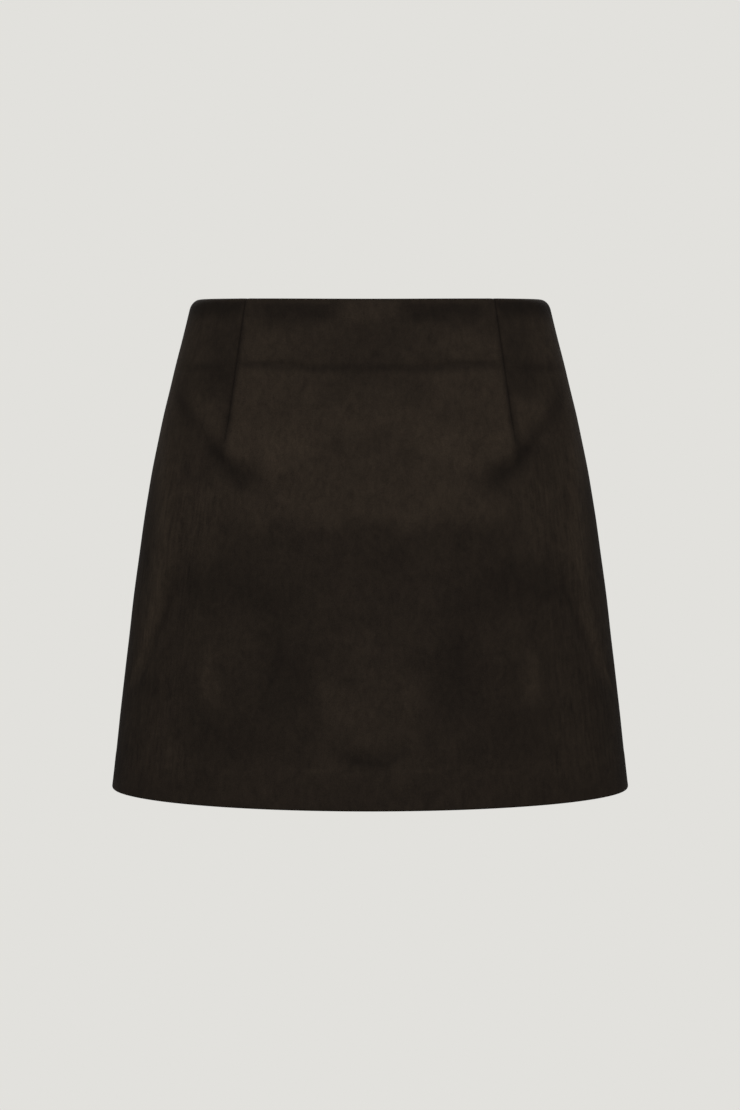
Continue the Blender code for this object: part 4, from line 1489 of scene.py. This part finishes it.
    def edge_strip(self, shell: ClothShell, inner: Points,
                   out: Points) -> tuple[Points, Points, Points]:
        """Adds the allowance along a panel's first edge, and returns the loops over its own edge.

        Args:
            shell: The panel's shell.
            inner: The panel's inner points, whose first column is the seam.
            out: The outward directions at those points.

        Returns:
            The places, directions and outward directions of the overlocked loops.
        """
        run = lengths_along(inner, 1)
        reach = np.linspace(0, self.allowance, self.allowance_columns)
        strip, away = (
            np.stack([[np.interp(reach, run[row], grid[row, :, i]) for i in range(3)]
                      for row in range(len(grid))]).swapaxes(1, 2)
            for grid in (inner, out)
        )
        curl = self.allowance_curl * (reach / self.allowance)[None, :, None] ** 3
        near = strip - away * (self.allowance_gap + curl)
        far = near - away * self.allowance_thickness
        shell.add(near, far, wrong_material=0)
        centres, along, up = spaced_along(far[:, -2], -away[:, -2], self.overlock_pitch)
        return centres, np.cross(up, along), up

    def stitches(self, name: str, drops: np.ndarray, outer: Points, inner: Points, out: Points,
                 sewn: list[tuple[Points, Points, Points]]) -> bpy.types.Object:
        """A panel's stitches: twin rows on the hem, two at the waist, and its overlocked edges."""
        hem = [self.length - self.hem + up for up in self.hem_stitches]
        rows = [(level, grid, way) for grid, way in ((outer, 1), (inner, -1)) for level in hem]
        rows += [(self.top + down, inner, -1) for down in self.waist_stitches]
        for level, grid, way in rows:
            row = int(np.abs(drops - level).argmin())
            sewn.append(spaced_along(grid[row, 2:-2], way * out[row, 2:-2], self.stitch_pitch))
        centres, along, up = (np.concatenate(parts) for parts in zip(*sewn))
        thread = self.stitch.laid(f"{name}_stitches", centres, along, up, self.finishes.thread)
        return attach(thread, GARMENT, Slot.SHORTS)

    def build(self) -> None:
        """Builds the four panels."""
        for face in Face:
            for side in Side:
                self.panel(side, face)


# ---- The zip ----


@dataclass
class HardPiece:
    """A small hard piece, modelled at the row's origin and then put in its place."""

    name: str
    size: tuple[float, float, float]
    centre: tuple[float, float, float] = (0.0, 0.0, 0.0)

    def cube(self) -> bpy.types.Object:
        """Starts from a box of this size."""
        bpy.ops.object.select_all(action="DESELECT")
        bpy.ops.mesh.primitive_cube_add(
            size=1, calc_uvs=False, location=self.centre, scale=self.size
        )
        return self._started()

    def round(self, sides: int, turned: tuple[float, float, float]) -> bpy.types.Object:
        """Starts from a cylinder, whose length and radius are the size's first two numbers."""
        length, radius, _ = self.size
        bpy.ops.object.select_all(action="DESELECT")
        bpy.ops.mesh.primitive_cylinder_add(
            vertices=sides, radius=radius, depth=length, calc_uvs=False, location=self.centre,
            rotation=turned,
        )
        return self._started()

    def pin(self, sides: int = 32) -> bpy.types.Object:
        """Starts from a round pin along X."""
        return self.round(sides, (0, math.pi / 2, 0))

    def _started(self) -> bpy.types.Object:
        """Names the new primitive and applies its place."""
        thing = bpy.context.active_object
        thing.name = self.name
        bpy.ops.object.transform_apply(location=True, rotation=True, scale=True)
        return thing


def work_on(thing: bpy.types.Object) -> None:
    """Makes a piece the only one that the next operator changes."""
    bpy.ops.object.select_all(action="DESELECT")
    thing.select_set(True)
    bpy.context.view_layer.objects.active = thing


def edit(thing: bpy.types.Object, chosen: Callable[[Vector], bool],
         change: Callable[[], object]) -> None:
    """Changes the part of a piece whose vertices pass a test, in edit mode.

    Args:
        thing: The piece.
        chosen: Whether a vertex at a place is chosen.
        change: Runs the operator.
    """
    work_on(thing)
    for vertex in thing.data.vertices:
        vertex.select = chosen(vertex.co)
    for edge in thing.data.edges:
        edge.select = all(thing.data.vertices[i].select for i in edge.vertices)
    for face in thing.data.polygons:
        face.select = all(thing.data.vertices[i].select for i in face.vertices)
    bpy.ops.object.mode_set(mode="EDIT")
    change()
    bpy.ops.object.mode_set(mode="OBJECT")


def apply_modifier(thing: bpy.types.Object, kind: str, **settings: object) -> None:
    """Adds a modifier and applies it."""
    work_on(thing)
    modifier = thing.modifiers.new(kind.title(), kind)
    for name, value in settings.items():
        setattr(modifier, name, value)
    bpy.ops.object.modifier_apply(modifier=modifier.name)


def round_edges(thing: bpy.types.Object, width: float, segments: int, over: float = 0.0) -> None:
    """Rounds every edge of a piece, or those that turn by more than an angle."""
    limit = {"limit_method": "ANGLE", "angle_limit": over} if over else {"limit_method": "NONE"}
    apply_modifier(thing, "BEVEL", width=width, segments=segments, **limit)


def combine(thing: bpy.types.Object, tool: bpy.types.Object, operation: str) -> None:
    """Joins a helper to a piece, or cuts it out, and removes the helper."""
    apply_modifier(thing, "BOOLEAN", operation=operation, object=tool, solver="EXACT")
    bpy.data.objects.remove(tool)


def put(thing: bpy.types.Object, place: Matrix, material: bpy.types.Material) -> bpy.types.Object:
    """Puts a finished hard piece in its place, shades it and gives it its finish."""
    thing.data.transform(place)
    thing.data.shade_smooth()
    thing.data.set_sharp_from_angle(angle=SHARP_EDGE)
    thing.data.materials.clear()
    thing.data.materials.append(material)
    return thing


@dataclass
class Zip:
    """The concealed zip in the centre back: two tapes, their coils, the slider, tab and stop."""

    finishes: Finishes
    top: float = 2 * MM
    tail: float = 6 * MM
    turned_layer: float = SUEDE_THICKNESS + 0.1 * MM
    turned_layer_fades: float = 4 * MM
    tape: float = 0.6 * MM
    tape_width: float = 12 * MM
    tape_gap: float = 0.55 * MM
    tape_parting: float = 0.05 * MM
    tape_steps: tuple[float, float, int] = (0.6 * MM, 3 * MM, 13)
    coil: Bead = Bead(length=3.1 * MM, radius=0.42 * MM)
    coil_pitch: float = 0.95 * MM
    coil_out: float = 1.05 * MM
    coil_sunk: float = 0.8
    coil_starts: float = 15.4 * MM
    coil_ends: float = ZIP_END - 3 * MM
    slider_size: tuple[float, float, float] = (6.8 * MM, 2.4 * MM, 9.0 * MM)
    slider_front: float = 4.15 * MM
    slider_taper: float = 0.72
    slider_round: float = 0.55 * MM
    neck_width: float = 1.8 * MM
    neck_height: float = 4.4 * MM
    lug_narrower: float = 0.98
    lug_radius: float = 2.3 * MM
    lug_hole: float = 1.15 * MM
    fine_round: float = 0.12 * MM
    corner: float = 50 * DEGREES
    pin_out: float = 2.6 * MM
    pin_radius: float = 0.7 * MM
    pin_length: float = 4.6 * MM
    tab_length: float = 22 * MM
    tab_thickness: float = 1.2 * MM
    tab_top: float = 2.7 * MM
    tab_end: float = 3.4 * MM
    tab_rim: float = 0.75 * MM
    tab_sunk: float = 0.22 * MM
    tab_round: float = 0.22 * MM
    slot_half_width: float = 1.35 * MM
    slot_length: float = 3.1 * MM
    lean: float = 3.4 * DEGREES
    stop_size: tuple[float, float, float] = (5 * MM, 1.6 * MM, 4 * MM)
    stop_under: float = SUEDE_THICKNESS + 1.75 * MM
    stop_taper: tuple[float, float, float] = (0.85, 1, 0.8)
    stop_round: float = 0.35 * MM

    def under_cloth(self, drop: Grid) -> Grid:
        """How far inside the cloth's right side the tape lies, with the turned-in waist or not."""
        turned = 1 - smooth_step((drop - FORM.waist_turn_in) / self.turned_layer_fades)
        return SUEDE_THICKNESS + self.tape_gap + self.turned_layer * turned

    def tapes(self) -> None:
        """Builds the two woven tapes."""
        finest, coarsest, columns = self.tape_steps
        drops = stations(self.top, ZIP_END + self.tail, (FORM.waist_turn_in,), finest, coarsest)
        drop, width = np.meshgrid(drops, np.linspace(self.tape_width, 0, columns), indexing="ij")
        gap = FORM.back_gap(drop) + self.tape_parting
        across = gap + width * (1 - gap / self.tape_width)
        under = self.under_cloth(drop)
        for side in Side:
            turn = side.value * (np.pi - across / FORM.back(drop))
            right, wrong = (FORM.cloth(turn, drop, inset) for inset in (under, under + self.tape))
            shell = ClothShell(f"woven_tape_{side.name.lower()}")
            shell.add(right, wrong, 0.0, 0, 0)
            piece = shell.build(self.finishes.tape)
            attach(piece, GARMENT, Slot.TAPE, f"zip_tape_{side.name.lower()}")
            self.coil_row(side)

    def coil_row(self, side: Side) -> None:
        """Builds one tape's row of coil turns, which mesh with the other's."""
        start = self.coil_starts + (self.coil_pitch / 2 if side is Side.LEFT else 0)
        drops = np.arange(start, self.coil_ends, self.coil_pitch)
        turns = np.full_like(drops, np.pi)
        inset = self.under_cloth(drops) + self.tape + self.coil.radius * self.coil_sunk
        centres = FORM.cloth(turns, drops, inset)
        centres[:, 0] += side.value * self.coil_out
        along = np.broadcast_to(np.array([1.0, 0, 0]), centres.shape)
        name, up = f"coil_{side.name.lower()}", -FORM.normals(turns, drops)
        attach(self.coil.laid(name, centres, along, up, self.finishes.coil), GARMENT, Slot.TAPE)

    def slider(self, place: Matrix) -> None:
        """Builds the slider: a tapered body inside, a neck through the seam and a lug outside."""
        back = -self.slider_front - self.slider_size[1] / 2
        front = self.pin_out - (self.lug_radius + self.lug_hole) / 2
        body = HardPiece("slider", self.slider_size, (0, back, 0)).cube()
        taper = (self.slider_taper, 1, 1)
        edit(body, lambda co: co.z < 0, lambda: bpy.ops.transform.resize(value=taper))
        round_edges(body, self.slider_round, segments=3)
        neck_size, at_lug = (self.neck_width, front - back, self.neck_height), (0, self.pin_out, 0)
        neck = HardPiece("neck", neck_size, (0, (back + front) / 2, 0))
        lug = HardPiece("lug", (self.neck_width * self.lug_narrower, self.lug_radius, 0), at_lug)
        hole = HardPiece("hole", (self.neck_width * 2, self.lug_hole, 0), at_lug)
        combine(body, neck.cube(), "UNION")
        combine(body, lug.pin(), "UNION")
        combine(body, hole.pin(), "DIFFERENCE")
        round_edges(body, self.fine_round, segments=2, over=self.corner)
        attach(put(body, place, self.finishes.enamel), GARMENT, Slot.ENAMEL, "zip_slider")

    def tab(self, place: Matrix) -> None:
        """Builds the pull tab: a strip with a round end, a sunk middle, a slot and a pin."""
        start = self.tab_end - self.tab_length
        disc = HardPiece("tab", (self.tab_thickness, self.tab_end, 0), (0, 0, start))
        tab = disc.round(sides=48, turned=(math.pi / 2, 0, 0))

        def draw_out() -> None:
            """Cuts off the upper half of the disc, and draws a tapered and an even length up."""
            bpy.ops.mesh.bisect(
                plane_co=(0, 0, start), plane_no=(0, 0, 1), use_fill=True, clear_outer=True
            )
            tapered = (-self.slot_length - start, self.tab_top / self.tab_end)
            for rise, wide in (tapered, (self.slot_length + self.pin_radius, 1)):
                bpy.ops.mesh.extrude_region_move(TRANSFORM_OT_translate={"value": (0, 0, rise)})
                bpy.ops.transform.resize(value=(wide, 1, 1))

        def sink() -> None:
            """Sinks the middle of a side."""
            bpy.ops.mesh.inset(thickness=self.tab_rim, depth=-self.tab_sunk)

        edit(tab, lambda co: True, draw_out)
        edit(tab, lambda co: co.y < 0, sink)
        edit(tab, lambda co: co.y > 0, sink)
        round_edges(tab, self.tab_round, segments=3, over=self.corner)
        top, end = 2 * self.pin_radius, -self.slot_length
        slot_size = (2 * self.slot_half_width, 3 * self.tab_thickness, top - end)
        slot = HardPiece("slot", slot_size, (0, 0, (top + end) / 2))
        combine(tab, slot.cube(), "DIFFERENCE")
        pin = HardPiece("pin", (self.pin_length, self.pin_radius, 0))
        combine(tab, pin.pin(sides=30), "UNION")
        on_pin = place @ Matrix.Translation((0, self.pin_out, 0))
        hung = put(tab, on_pin @ Matrix.Rotation(-self.lean, 4, "X"), self.finishes.enamel)
        attach(hung, PULL_TAB, Slot.ENAMEL, "zip_pull")

    def stop(self) -> None:
        """Builds the bottom stop, a small clip round both coils."""
        under = -(self.stop_under + self.stop_size[1] / 2)
        clip = HardPiece("bottom_stop", self.stop_size, (0, under, 0)).cube()
        edit(clip, lambda co: co.y < under, lambda: bpy.ops.transform.resize(value=self.stop_taper))
        round_edges(clip, self.stop_round, segments=3)
        put(clip, FORM.place_at_back(ZIP_END), self.finishes.enamel)
        attach(clip, GARMENT, Slot.ENAMEL, "zip_stop")

    def build(self) -> None:
        """Builds the whole zip."""
        self.tapes()
        place = FORM.place_at_back(FORM.zip_drop)
        self.slider(place)
        self.tab(place)
        self.stop()


# ---- The studio ----


@dataclass(frozen=True)
class Lamp:
    """A large soft light: where it stands, what it points at, its size and its power in watts."""

    name: str
    stands: tuple[float, float, float]
    points_at: tuple[float, float, float]
    width: float
    height: float
    power: float


@dataclass(frozen=True)
class Studio:
    """A plain pale studio with a pale floor, soft lights and the camera at the photo's angle."""

    pale: Colour = from_screen(226, 225, 221)
    fill: float = 0.305
    floor_drop: float = 0.95
    floor_radius: float = 60.0
    camera_at: tuple[float, float, float] = (-0.0001, -2.2, -0.0696)
    camera_tilt: float = 86.857 * DEGREES
    focal_pixels: float = 2914.0
    frame_height: float = 1110.0
    sensor: float = 36.0
    lamps: tuple[Lamp, ...] = (
        Lamp("key", (0, -2.6, 1.7), (0, 0, -0.15), 2.4, 1.6, 50),
        Lamp("left_side", (-2.3, -1.0, 0.4), (0, 0, -0.2), 1.0, 2.2, 7),
        Lamp("right_side", (2.3, -1.0, 0.4), (0, 0, -0.2), 1.0, 2.2, 7),
        Lamp("back_left", (0.8, 2.8, 1.5), (0, 0, -0.15), 1.6, 1.6, 30),
        Lamp("back_right", (-0.8, 2.8, 1.5), (0, 0, -0.15), 1.6, 1.6, 30),
    )

    def backdrop(self) -> None:
        """Makes the pale room: an even tone to the camera and a softer light to the object."""
        world = bpy.data.worlds.new("studio")
        bpy.context.scene.world = world
        world.use_nodes = True
        nodes, links = world.node_tree.nodes, world.node_tree.links
        nodes.clear()
        kinds = ("Background", "Background", "MixShader", "LightPath", "OutputWorld")
        seen, lit, mix, path, out = (nodes.new(f"ShaderNode{kind}") for kind in kinds)
        seen.inputs["Color"].default_value = (*self.pale, 1)
        lit.inputs["Color"].default_value = (1, 1, 1, 1)
        lit.inputs["Strength"].default_value = self.fill
        links.new(path.outputs["Is Camera Ray"], mix.inputs[0])
        links.new(lit.outputs[0], mix.inputs[1])
        links.new(seen.outputs[0], mix.inputs[2])
        links.new(mix.outputs[0], out.inputs["Surface"])

    def floor(self) -> None:
        """Makes the floor, in the room's own tone."""
        bpy.ops.object.select_all(action="DESELECT")
        bpy.ops.mesh.primitive_circle_add(vertices=96, radius=self.floor_radius, fill_type="NGON")
        floor = bpy.context.active_object
        floor.name = "studio_floor"
        floor.location.z = -self.floor_drop
        material = bpy.data.materials.new("studio_floor")
        material.use_nodes = True
        shader = material.node_tree.nodes["Principled BSDF"]
        shader.inputs["Base Color"].default_value = (0, 0, 0, 1)
        shader.inputs["Specular IOR Level"].default_value = 0
        shader.inputs["Emission Color"].default_value = (*self.pale, 1)
        shader.inputs["Emission Strength"].default_value = 1
        floor.data.materials.append(material)
        floor.visible_diffuse = floor.visible_glossy = floor.visible_shadow = False

    def lights(self) -> None:
        """Makes the soft lights."""
        for lamp in self.lamps:
            data = bpy.data.lights.new(lamp.name, "AREA")
            data.shape, data.energy = "RECTANGLE", lamp.power
            data.size, data.size_y = lamp.width, lamp.height
            light = bpy.data.objects.new(lamp.name, data)
            light.location = lamp.stands
            aim = Vector(lamp.points_at) - Vector(lamp.stands)
            light.rotation_euler = aim.to_track_quat("-Z", "Y").to_euler()
            light.visible_camera = False
            bpy.context.scene.collection.objects.link(light)

    def camera(self) -> None:
        """Makes the camera, whose lens gives the photo's frame."""
        data = bpy.data.cameras.new("camera")
        data.sensor_fit, data.sensor_width, data.sensor_height = "AUTO", self.sensor, self.sensor
        data.lens = self.focal_pixels * self.sensor / self.frame_height
        camera = bpy.data.objects.new("camera", data)
        camera.location = self.camera_at
        camera.rotation_euler = (self.camera_tilt, 0, 0)
        bpy.context.scene.collection.objects.link(camera)
        bpy.context.scene.camera = camera

    def build(self) -> None:
        """Builds the whole studio."""
        bpy.context.scene.view_settings.view_transform = "Standard"
        self.backdrop()
        self.floor()
        self.lights()
        self.camera()


def main() -> None:
    """Builds the studio and every piece."""
    logging.basicConfig(level=logging.INFO, format="%(name)s: %(message)s")
    Studio().build()
    finishes = Finishes()
    for assembly in (Skirt(finishes), Shorts(finishes), Zip(finishes)):
        assembly.build()


if __name__ == "__main__":
    main()
